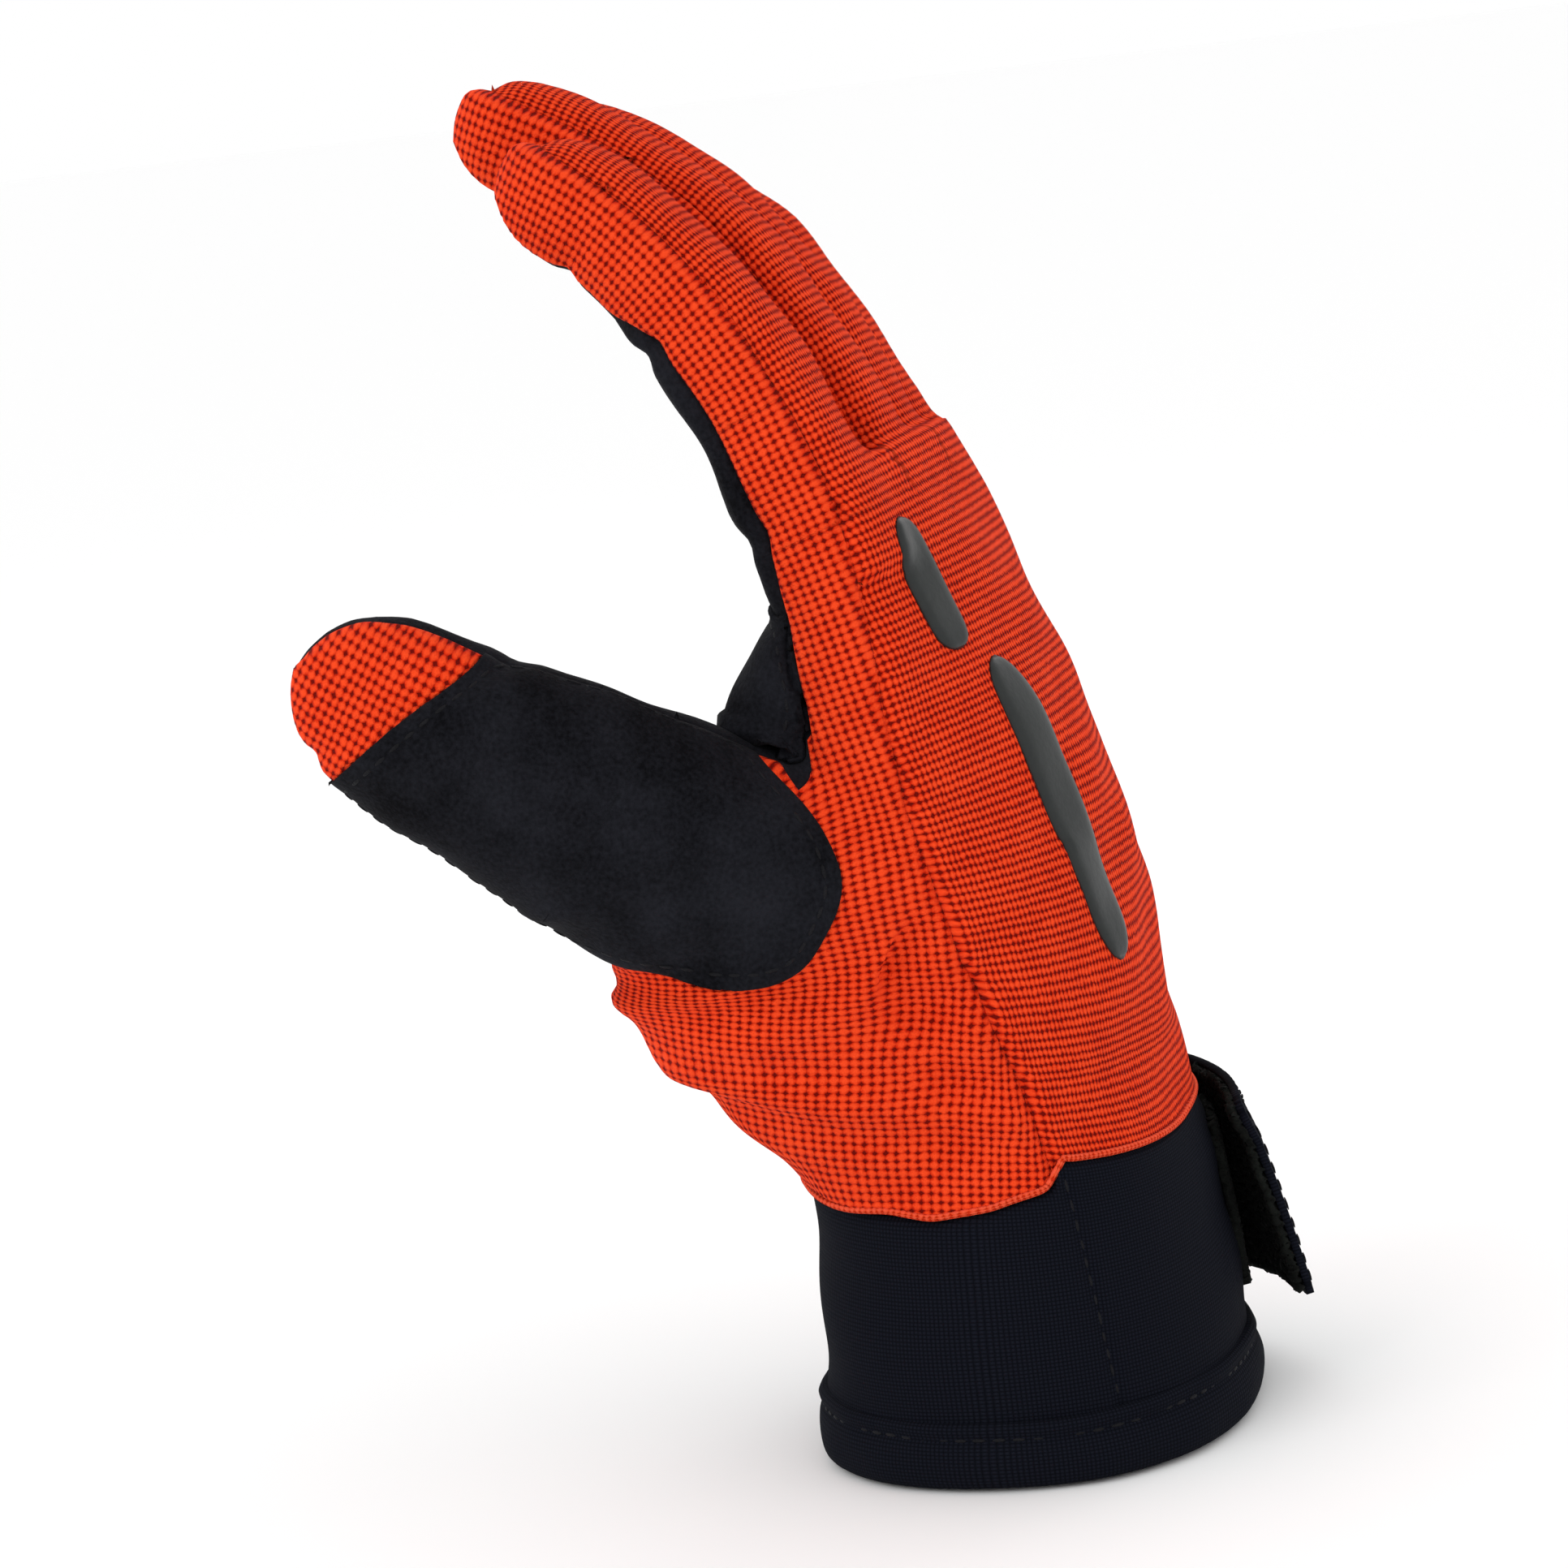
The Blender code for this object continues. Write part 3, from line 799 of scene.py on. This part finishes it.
# %% [markdown]
# ## Sort the faces into panels
# Each face of the cut skin belongs to one stage of one finger, the thumb or the
# hand, and to one panel there. Each panel becomes an object of its own with a
# thickness, so the seams between panels are real edges. The faces are named on
# the even skin, and the panels are cut out after the skin has been shaped.

# %% Name the panel of every face
FINGER_NAMES = list(FINGERS)


def panel_keys(bm):
    """The name of the panel of each face, from its corner furthest from each seam."""
    bm.verts.index_update()
    m = measure(positions(bm))
    corners = [[v.index for v in f.verts] for f in bm.faces]

    def inside(value):
        return np.array([max((value[k] for k in c), key=abs) > 0 for c in corners])
    back, palm = inside(back_seam(m)), inside(palm_seam(m))
    thumb_part, thumb_front = inside(on_thumb(m)), inside(thumb_back_seam(m))
    behind_front, before_end = inside(patch_front(m)), inside(patch_end(m))
    keep, in_finger = inside(cuff_line(m)), inside(m["s"] - ROOT_CUT)
    upper, tip = inside(m["s"] - STAGE_CUT), inside(m["t"] - THUMB_STAGE_CUT)
    near_side, near_finger = inside(m["y"]), inside(m["finger_y"])
    keys = []
    for i, corner in enumerate(corners):
        if not keep[i]:
            keys.append(None)
            continue
        covered = thumb_front[i] and behind_front[i] and before_end[i]
        on_root = thumb_part[i] and thumb_front[i] and not before_end[i]
        if in_finger[i] and not thumb_part[i]:
            place = f"{FINGER_NAMES[m['which'][corner[0]]]}_{'upper' if upper[i] else 'lower'}"
            side = "far_side" if near_finger[i] else "thumb_side"
            panel = "back" if back[i] else "palm" if palm[i] else side
        elif thumb_part[i] and not on_root:
            place = "thumb_tip" if tip[i] else "thumb_lower"
            panel = "patch" if covered else "cap" if thumb_front[i] else "palm"
        else:
            place = "hand"
            side = "far_side" if near_side[i] else "thumb_side"
            panel = "patch" if covered else "back" if back[i] else "palm" if palm[i] else side
            if on_root:
                panel = "thumb_side"
        keys.append(f"{place}_{panel}")
    return keys


keys = panel_keys(bm)
print("panels:", sorted(set(k for k in keys if k)))


# %% Cut the panels out
PANEL_THICK, PATCH_LIFT = 1.1, 0.5


def only_faces(bm, keep):
    """A copy of the bmesh that holds only the faces marked in keep."""
    piece = bm.copy()
    drop = [f for f, kept in zip(list(piece.faces), keep) if not kept]
    bmesh.ops.delete(piece, geom=drop, context="FACES")
    return piece


def raise_cloth(bm, heights):
    for v, up in zip(bm.verts, heights):
        v.co += v.normal * float(up) * MM


def dress(o, paint, slot, wall="", thick=0.0):
    """Give a piece its finish, and a sheet its thickness inwards; slot is not used."""
    o.data.shade_smooth()
    o.data.materials.append(paint)
    if thick:
        solid = o.modifiers.new(wall, "SOLIDIFY")
        solid.thickness = thick * MM
        solid.offset = -1


def attach(o, body, *nodes):
    """Let a piece move with a body, and stand for the frame's nodes it replaces."""
    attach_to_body(o, body)
    if nodes:
        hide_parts(*nodes)


def lay_cloth_map(mesh, kind):
    """A UV map in centimetres: across and along the hand, or the thumb."""
    points = np.array([v.co for v in mesh.vertices]) / MM
    m = measure(points)
    if kind.startswith("thumb"):
        across, along = m["b"], m["t"]
    else:
        bend = smoothstep(m["s"], FINGER_BLEND[0] + 2, FINGER_BLEND[1])
        round_finger = 10.5 * np.arctan2(m["finger_y"], np.maximum(m["finger_n"], 0.5))
        if kind.endswith("back"):
            fall = np.sign(m["y"]) * 0.7 * m["deep"] * np.maximum(1 - m["level"], 0)
            across = (1 - bend) * (m["y"] + fall) + bend * (round_finger + FINGER_Y[m["which"]])
        else:
            inward = np.maximum(table(m["s"], 1) - np.abs(m["y"]), 0)
            turned = 0.7 * smoothstep(m["n"], 2, 6) - 0.8 * smoothstep(-m["level"], 0.55, 0.95)
            across = m["n"] + inward * turned * (1 - bend)
        along = m["s"]
    layer = mesh.uv_layers.new(name="cloth")
    corner = np.zeros(len(mesh.loops), np.int32)
    mesh.loops.foreach_get("vertex_index", corner)
    layer.data.foreach_set("uv", (np.stack([across, along], 1)[corner] / 10).ravel())


def cut_out(bm, keys, key):
    """One panel as its own object: the faces named key, copied and thickened."""
    piece = only_faces(bm, [k == key for k in keys])
    if key.endswith("patch"):
        raise_cloth(piece, [PATCH_LIFT] * len(piece.verts))
    o = to_object(piece, key)
    lay_cloth_map(o.data, key)
    dress(o, *finish_of(key), "cloth_thickness", PANEL_THICK)
    return o


def finish_of(key):
    """The material and the slot of a panel."""
    if key.endswith(("palm", "patch")):
        return suede, "black_suede"
    if key.endswith("back"):
        return ribbed_knit, "red_knit"
    if key.endswith("cap"):
        return square_knit, "red_knit"
    return square_knit, "red_side_knit"


shape_skin(bm)
bm.normal_update()
panels = {key: cut_out(bm, keys, key) for key in sorted(set(k for k in keys if k))}
print("made", len(panels), "panels")


# %% [markdown]
# ## Reinforcing patches
# A rounded suede patch covers the palm beside the crotch of the thumb, where a
# tool's handle rubs. It is a copy of the palm's faces there, raised in the
# middle because it is padded.

# %% The web patch
WEB_THICK, WEB_PAD, WEB_CROWN = 0.9, 2.0, 8.5


def cut_web_patch(bm):
    """The padded patch: flat at its edge, and lower where the thumb would touch it."""
    m = measure(np.array([f.calc_center_median() for f in bm.faces]) / MM)
    piece = only_faces(bm, (web_edge(m) > 0) & (on_thumb(m) <= 0))
    m = measure(positions(piece))
    inner = smoothstep(web_edge(m), 0.3, 7.5)
    clear_of_thumb = smoothstep(m["thumb_far"], 0.95, 1.12)
    padding = (WEB_PAD + WEB_CROWN * valley(m["s"] - 118, 17)) * inner * clear_of_thumb
    raise_cloth(piece, WEB_THICK + padding)
    o = to_object(piece, "web_patch_suede")
    lay_cloth_map(o.data, "hand_palm")
    dress(o, suede, "black_suede", "padding", WEB_THICK)
    attach(o, "hand", "web_patch")
    return o


web_patch = cut_web_patch(bm)
print("web patch:", len(web_patch.data.polygons), "faces")


# %% [markdown]
# ## Stitches
# A row of stitches is short lengths of thread with a gap after each. They are
# laid on a line that runs at an even distance inside a patch's edge. The line
# is found on the mesh: each face that the distance crosses gives a short run.

# %% Trace a line at a distance from an edge, and sew along it
STITCH_LONG, STITCH_GAP, STITCH_THICK = 2.1, 0.9, 0.30
THUMB_INSET, WEB_INSET, THREAD_LIFT = 2.3, 2.0, 0.5


def inset_lines(mesh_bm, inset):
    """Runs of (point, normal) at the inset in mm from the mesh's open edge."""
    rim = [v.co for v in mesh_bm.verts if v.is_boundary]
    tree = KDTree(len(rim))
    for i, co in enumerate(rim):
        tree.insert(co, i)
    tree.balance()
    gap = {v: tree.find(v.co)[2] / MM - inset for v in mesh_bm.verts}
    cross, links = {}, {}
    for e in mesh_bm.edges:
        a, b = e.verts
        if gap[a] * gap[b] < 0:
            share = gap[a] / (gap[a] - gap[b])
            cross[e] = (a.co.lerp(b.co, share) / MM, a.normal.lerp(b.normal, share).normalized())
    for f in mesh_bm.faces:
        ends = [e for e in f.edges if e in cross]
        if len(ends) == 2:
            links.setdefault(ends[0], []).append(ends[1])
            links.setdefault(ends[1], []).append(ends[0])
    lines = []
    left = dict.fromkeys(links)
    while left:
        start = next((e for e in left if len(links[e]) == 1), next(iter(left)))
        run, at = [], start
        while at is not None:
            run.append(cross[at])
            left.pop(at)
            at = next((e for e in links[at] if e in left), None)
        lines.append(run)
    return [run for run in lines if len(run) > 12]


def eased(run, rounds=6):
    """The run's points and normals, averaged with their neighbours."""
    points, normals = (np.array([x[k] for x in run]) for k in (0, 1))
    for _ in range(rounds):
        points[1:-1] = (points[:-2] + 2 * points[1:-1] + points[2:]) / 4
        normals[1:-1] = (normals[:-2] + 2 * normals[1:-1] + normals[2:]) / 4
    return points, unit(normals)


def sew(bm, points, normals, seed=1, lift=0.05):
    """Add stitches along the points to the bmesh and return their middles."""
    dice = random.Random(seed)
    length = np.r_[0, np.cumsum(np.linalg.norm(np.diff(points, axis=0), axis=1))]
    spot, middles = 0.6, []

    def at(d):
        return (np.array([np.interp(d, length, c) for c in points.T]),
                np.array([np.interp(d, length, c) for c in normals.T]))

    while spot + STITCH_LONG < length[-1]:
        size = STITCH_LONG * dice.uniform(0.85, 1.1)
        (p, up), (q, _) = at(spot), at(spot + size)
        run, up = Vector(unit(q - p)), Vector(unit(up))
        side = up.cross(run).normalized()
        up = run.cross(side)
        turn = Matrix((run, side, up)).transposed().to_4x4()
        place = Vector((p + q) / 2) + up * lift + side * dice.uniform(-0.06, 0.06)
        fit = Matrix.Diagonal((size / 2, STITCH_THICK, STITCH_THICK * 0.6, 1))
        bmesh.ops.create_icosphere(bm, subdivisions=2, radius=MM,
                                   matrix=Matrix.Translation(place * MM) @ turn @ fit)
        middles.append((p + q) / 2)
        spot += size + STITCH_GAP * dice.uniform(0.8, 1.2)
    return middles


def thread_object(bm, name, slot):
    """The stitches in a bmesh, as an object of thread."""
    o = to_object(bm, name)
    dress(o, thread, slot)
    return o


# the rows on the thumb are shared out to the bodies they lie on, by t
thumb_stitches = {}
sheet = only_faces(bm, [bool(k) and k.endswith("patch") for k in keys])
sheet.normal_update()
for run in inset_lines(sheet, THUMB_INSET):
    points, normals = eased(run)
    t_along = measure(points)["t"]
    points = points + normals * THREAD_LIFT
    for body, low, high in (("hand", -99, 8), ("thumb_lower", 8, 44), ("thumb_tip", 44, 99)):
        inside = (t_along >= low) & (t_along < high)
        starts = np.flatnonzero(np.diff(np.r_[0, inside, 0]) == 1)
        stops = np.flatnonzero(np.diff(np.r_[0, inside, 0]) == -1)
        target = thumb_stitches.setdefault(body, bmesh.new())
        for first, last in zip(starts, stops):
            if last - first > 3:
                sew(target, points[first:last], normals[first:last], seed=int(first))
sheet.free()

web_stitch_bm = bmesh.new()
sheet = bmesh.new()
sheet.from_mesh(web_patch.data)
for run in inset_lines(sheet, WEB_INSET):
    points, normals = eased(run)
    sew(web_stitch_bm, points, normals, seed=5)
sheet.free()
attach(thread_object(web_stitch_bm, "web_patch_stitches", "black_suede"), "hand")
print("stitched the patches on", ", ".join(thumb_stitches))

# %% [markdown]
# ## Cuff
# The sleeve is a stretch band that tucks in under the red panels. A folded hem
# closes its mouth. The sleeve's side seam leans towards the back, and a row of
# stitches runs along it and round the hem.

# %% Grids laid round the cuff
SLEEVE_SEAM_HIGH, SLEEVE_SEAM_LOW = 65.0, 55.0
SLEEVE_START, SLEEVE_TUCK = 9.4, 2.4
# a degree round the cuff, in millimetres of cloth
DEGREE = 0.62


def sheet_on(name, form, across, along, paint, slot, thick, closed=False):
    """A grid laid on form(u, v) for u and v in 0..1, with a cloth map in centimetres."""
    bm = bmesh.new()
    verts = bmesh.ops.create_grid(bm, x_segments=across, y_segments=along, size=0.5)["verts"]
    u = np.array([v.co.x for v in verts]) + 0.5
    w = np.array([v.co.y for v in verts]) + 0.5
    points, cloth = form(u, w)
    layer = bm.loops.layers.uv.new("cloth")
    place = {v: c for v, c in zip(verts, cloth)}
    for f in bm.faces:
        for loop in f.loops:
            loop[layer].uv = Vector(place[loop.vert]) / 10
    for v, p in zip(verts, points):
        v.co = Vector(p) * MM
    if closed:
        bmesh.ops.remove_doubles(bm, verts=bm.verts, dist=0.00003)
    bmesh.ops.recalc_face_normals(bm, faces=bm.faces)
    outward = sum(f.normal.dot(f.calc_center_median() - Vector(MOUTH) * MM) for f in bm.faces)
    if outward < 0:
        bmesh.ops.reverse_faces(bm, faces=bm.faces)
    o = to_object(bm, name)
    dress(o, paint, slot, "cloth_thickness", thick)
    return o


def sleeve_top(angle):
    """Where the red panels begin, as s, for an array of angles round the cuff."""
    level = np.sign(np.cos(np.radians(angle))) * np.abs(np.cos(np.radians(angle))) ** (2 / SUPER)
    near = np.where(np.sin(np.radians(angle)) > 0, 0.46, 0.55)
    return cuff_top(level) + SLEEVE_RISE * smoothstep((level - near) * 29, -0.8, 0.8)


def side_seam(s):
    """The angle of the sleeve's side seam at s."""
    return np.interp(s, [0, 50], [SLEEVE_SEAM_LOW, SLEEVE_SEAM_HIGH])


def sleeve_lift(s, angle):
    """How far the sleeve stands off the hand's form: wrinkled, and tucked in at its top."""
    turn = np.radians(angle)
    wrinkles = 0.35 * np.sin(0.33 * s + 2.2 * np.sin(turn + 0.6)) * (0.5 + 0.5 * np.cos(2 * turn + 1))
    wrinkles = wrinkles + 0.3 * np.sin(3 * turn + 0.11 * s)
    off = np.minimum(np.abs(angle - side_seam(s)), np.abs(angle - 360 + side_seam(s)))
    groove = 0.55 * valley(off * DEGREE, 0.9)
    tuck = smoothstep(s - sleeve_top(angle), -1.6, 0.6)
    return (0.35 + wrinkles - groove) * (1 - tuck) - 1.7 * tuck


def sleeve_form(u, w):
    angle = 360 * u
    s = SLEEVE_START + w * (sleeve_top(angle) + SLEEVE_TUCK - SLEEVE_START)
    return hand_form(s, angle, sleeve_lift(s, angle)), np.stack([angle * DEGREE, s], 1)


# the folded hem, cut across: s and the lift off the hand's form
HEM_OUTLINE = [(10.6, 0.1), (10.5, 0.9), (9.7, 1.5), (8.7, 1.25), (8.0, 0.95), (7.0, 1.55),
               (4.4, 1.95), (1.8, 1.6), (0.4, 0.7), (0.0, -0.7), (0.4, -2.1), (2.0, -2.9),
               (6.0, -3.1), (9.8, -3.0), (10.6, -2.0), (10.6, 0.1)]


def hem_form(u, w):
    outline, length = smooth_path(HEM_OUTLINE, 8)
    at = w * length[-1]
    s, lift = (np.interp(at, length, c) for c in outline.T)
    angle = 360 * u
    turn = np.radians(angle)
    outer = smoothstep(lift, -1.5, 0.5)
    lift = lift + outer * (0.22 * np.sin(5 * turn + 1) + 0.14 * np.sin(13 * turn) * np.sin(0.5 * s))
    s = np.maximum(s + 0.35 * np.sin(3 * turn + 0.4) * smoothstep(s, 3, 9), 0)
    return hand_form(s, angle, lift), np.stack([angle * DEGREE, at], 1)


sleeve = sheet_on("sleeve_knit", sleeve_form, 240, 60, neoprene, "black_neoprene", 1.8, closed=True)
attach(sleeve, "hand", "cuff_sleeve")
hem = sheet_on("folded_hem", hem_form, 240, 44, neoprene, "black_neoprene", 0, closed=True)
attach(hem, "hand", "cuff_hem")
print("sleeve:", len(sleeve.data.polygons), "faces, hem:", len(hem.data.polygons), "faces")


# %% Bind the lower edge of the red cloth
skin_tree = BVHTree.FromBMesh(bm)
BIND_RADIUS, BIND_START, BIND_STOP, BIND_STEP = 0.55, -116, 150, 1.25


def binding():
    """A cord of folded cloth along the edge, snapped to the skin."""
    angle = np.arange(BIND_START, BIND_STOP, BIND_STEP)
    flat = hand_form(sleeve_top(angle) + 0.5, angle, 0.6)
    rim = [skin_tree.find_nearest(Vector(p) * MM)[:2] for p in flat]
    points = np.array([p for p, _ in rim]) / MM
    out = np.array([n for _, n in rim])
    for _ in range(2):
        points[1:-1] = (points[:-2] + 2 * points[1:-1] + points[2:]) / 4
        out[1:-1] = unit(out[:-2] + 2 * out[1:-1] + out[2:])
    run = unit(np.gradient(points, axis=0))
    down = unit(np.cross(run, out))
    count = len(points)

    def form(u, w):
        k = np.round(u * (count - 1)).astype(int)
        turn = 2 * np.pi * w[:, None]
        ring = BIND_RADIUS * (np.cos(turn) * out[k] + np.sin(turn) * down[k])
        return points[k] + ring, np.stack([angle[k] * DEGREE, w * 3.4], 1)
    return sheet_on("red_edge_binding", form, count - 1, 8, edge_knit, "red_knit", 0, closed=True)


attach(binding(), "hand")

# %% Sew the hem and the sleeve's side seams
def form_run(form, stations):
    """Points and outward normals along (s, angle, lift) stations of the hand's form."""
    s, angle, lift = (np.array(c, float) for c in zip(*stations))
    points = form(s, angle, lift)
    return points, unit(form(s, angle, lift + 1.0) - points)


cuff_bm = bmesh.new()
hem_row = [(8.15 + 0.35 * math.sin(3 * math.radians(a) + 0.4), a,
            0.95 + 0.22 * math.sin(5 * math.radians(a) + 1)) for a in range(0, 361, 2)]
sew(cuff_bm, *form_run(hand_form, hem_row), seed=2)
for mirror in (1, -1):
    seam_row = []
    for s in np.arange(11.5, 49.5, 1.0):
        angle = float(side_seam(s))
        full = angle if mirror > 0 else 360 - angle
        seam_row.append((s, full, float(sleeve_lift(np.array([s]), np.array([full]))[0])))
    sew(cuff_bm, *form_run(hand_form, seam_row), seed=3, lift=0.02)
attach(thread_object(cuff_bm, "cuff_stitches", "black_neoprene"), "hand")

# %% [markdown]
# ## Wrist strap
# The closing strap is sewn to the side of the cuff and peels off its back. Its
# inner face is a mat of hooks, and the pad on the cuff that they grip is a loop
# pile, so both are fuzzy. The flap is drawn slightly open, as it hangs.

# %% The strap, its hook face, the loop pad and the sewn end
STRAP_LOW, STRAP_HIGH = 13.0, 51.0
STRAP_SEWN, STRAP_FREE = -62.0, -6.0
STRAP_THICK, STRAP_PEEL = 2.4, 7.5
# lower and upper edge, as s, and the angles where the patch starts and ends
LOOP_PAD = (15, 45, -52, -10)
SEWN_END = (STRAP_LOW, 41, -86, STRAP_SEWN - 3)
FUZZ_GRAIN = (1.1, 1.7)


def strap_form(s, angle, lift):
    """The flap's surface, which stands further off towards its free end and lower edge."""
    peeled = np.maximum((angle - STRAP_SEWN) / (STRAP_FREE - STRAP_SEWN), 0)
    lower = (STRAP_HIGH - s) / (STRAP_HIGH - STRAP_LOW)
    stand = STRAP_THICK + 2.0 + STRAP_PEEL * (0.35 + 0.65 * lower) * peeled ** 1.2
    return hand_form(s, angle, stand + lift)


def strap_patch(form, low, high, start, end, lift, fuzz=0.0, corner=0.12, seed=1):
    """A form for sheet_on: a patch with rounded corners, roughened by fuzz in mm."""
    def shape(u, w):
        x, z = 2 * u - 1, 2 * w - 1
        pull_x = 1 - corner * np.abs(z) ** 8 * 0.5
        pull_z = 1 - corner * np.abs(x) ** 8 * 0.5
        angle = (start + end) / 2 + (end - start) / 2 * x * pull_x
        s = (low + high) / 2 + (high - low) / 2 * z * pull_z
        rough = np.array([noise.noise(Vector((a * FUZZ_GRAIN[0], b * FUZZ_GRAIN[1], seed)))
                          for a, b in zip(angle, s)])
        return form(s, angle, lift + fuzz * rough), np.stack([angle * DEGREE, s], 1)
    return shape


flap = sheet_on("strap_outer", strap_patch(strap_form, STRAP_LOW, STRAP_HIGH, STRAP_SEWN, STRAP_FREE,
                                           0.0, 0.10), 70, 60, neoprene, "black_strap", 1.2)
hooks = sheet_on("strap_hook_mat", strap_patch(strap_form, STRAP_LOW + 1, STRAP_HIGH - 1, STRAP_SEWN + 14,
                                               STRAP_FREE + 0.4, -1.5, 0.9, seed=4),
                 90, 90, strap_pile, "black_strap", 1.1)
loops = sheet_on("strap_loop_mat", strap_patch(hand_form, *LOOP_PAD, 1.6, 0.5, seed=6),
                 90, 80, strap_pile, "black_strap", 1.3)
sewn_end = sheet_on("strap_sewn_cloth", strap_patch(hand_form, *SEWN_END, 2.8, 0.1, seed=8),
                    40, 50, neoprene, "black_strap", 2.2)
attach(flap, "strap", "strap_flap")
attach(hooks, "strap", "strap_hook_face")
attach(loops, "hand", "strap_loop_pad")
attach(sewn_end, "hand", "strap_sewn_end")
print("strap:", ", ".join(o.name for o in (flap, hooks, loops, sewn_end)))


# %% Sew the strap
def sew_box(name, form, corners, lift, steps, seed, body):
    """Stitches round a box whose corners are (s, angle), as an object on a body."""
    box_bm = bmesh.new()
    for (s0, a0), (s1, a1) in zip(corners, corners[1:] + corners[:1]):
        row = [(s0 + (s1 - s0) * k / steps, a0 + (a1 - a0) * k / steps, lift) for k in range(steps + 1)]
        sew(box_bm, *form_run(form, row), seed=seed)
    attach(thread_object(box_bm, name, "black_strap"), body)


END_BOX = [(STRAP_LOW + 2.2, -83), (39, -83), (39, -68), (STRAP_LOW + 2.2, -68)]
FLAP_BOX = [(15, -58), (15, -9), (49, -9), (49, -58)]
sew_box("strap_end_stitches", hand_form, END_BOX, 2.85, 12, 9, "hand")
sew_box("strap_flap_stitches", strap_form, FLAP_BOX, 0.1, 16, 10, "strap")

# %% [markdown]
# ## Rubber bars on the back
# Two plain bars of rubber are pressed onto the back panel. Each is a thin slab
# with rounded ends that follows the cloth, with a soft satin face.

# %% Lay the two bars on the cloth
BAR_THICK, BAR_CROWN, BAR_LEAN, BAR_CLEAR = 0.5, 0.75, 1.8, 0.1


def rubber_bar(name, low, high, start, end, node):
    """A rounded slab between two distances s and two angles, snapped to the skin."""
    bar = bmesh.new()
    verts = bmesh.ops.create_grid(bar, x_segments=14, y_segments=56, size=0.5)["verts"]
    for v in verts:
        x, z = 2 * v.co.x, 2 * v.co.y
        taper = max(0.12, (1 - z ** 6) ** 0.5)
        lean = BAR_LEAN * z
        s = (low + high) / 2 + (high - low) / 2 * z
        angle = (start + end) / 2 + (end - start) / 2 * x * taper + lean
        p = hand_form(np.array([s]), np.array([angle]), 2.0)[0]
        place, normal, _, _ = skin_tree.find_nearest(Vector(p) * MM)
        crown = BAR_CROWN * (1 - abs(x) ** 6) * (1 - abs(z) ** 20)
        v.co = place + normal * (BAR_CLEAR + crown) * MM
    bmesh.ops.recalc_face_normals(bar, faces=bar.faces)
    if sum(f.normal.x for f in bar.faces) < 0:
        bmesh.ops.reverse_faces(bar, faces=bar.faces)
    o = to_object(bar, name)
    dress(o, rubber, "rubber_print", "rubber_thickness", BAR_THICK)
    attach(o, "hand", node)
    print(name, "on the back, from s", low, "to", high)


rubber_bar("rubber_bar_long", 77, 122, 16, 31, "back_print_long")
rubber_bar("rubber_bar_short", 125, 146, 31, 46, "back_print_short")

# %% [markdown]
# ## Let the hand's panels move
# A panel of the hand rides on the hand. The panels of the fingers and the
# thumb have their transforms baked where they lie.

# %% Ride on the hand, and bake the rest in place
# where a bend starts and ends: s for the fingers, t for the thumb
LOWER_BEND = (150.5, 160.0)
UPPER_BEND = 9.0
THUMB_LOWER_BEND, THUMB_TIP_BEND = (6.0, 24.0), (34.0, 54.0)


def bend_thumb(o, body):
    """Attach a piece of the thumb to the hand when its body is the hand, and otherwise bake its transform
    where it lies.
    """
    if body == "hand":
        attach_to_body(o, "hand")
        return
    low, high = THUMB_TIP_BEND if body == "thumb_tip" else THUMB_LOWER_BEND
    start, end = thumb_at([low, high])[0]
    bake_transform(o)


for key, o in panels.items():
    if key.startswith("hand"):
        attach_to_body(o, "hand")
    elif key.startswith("thumb"):
        bend_thumb(o, "thumb_tip" if key.startswith("thumb_tip") else "thumb_lower")
    else:
        name, stage = key.split("_")[:2]
        f = FINGERS[name]
        reach = LOWER_BEND if stage == "lower" else (f["bend"] - UPPER_BEND, f["bend"] + UPPER_BEND)
        origin, out = spine_at(reach)
        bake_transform(o)
        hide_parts(key)
for body, thread_bm in thumb_stitches.items():
    bend_thumb(thread_object(thread_bm, f"{body}_patch_stitches", "black_suede"), body)

STANDS_FOR = {
    "hand_back": ["back_panel"],
    "hand_palm": ["palm_panel"],
    "hand_far_side": ["little_side_panel"],
    "hand_thumb_side": ["index_side_panel", "thumb_root_panel", "thumb_back_gusset"],
    "thumb_lower_patch": ["thumb_lower_back_patch"],
    "thumb_lower_palm": ["thumb_lower_palm"],
    "thumb_tip_cap": ["thumb_tip_back"],
    "thumb_tip_palm": ["thumb_tip_palm"],
}
for key, nodes in STANDS_FOR.items():
    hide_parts(*nodes)
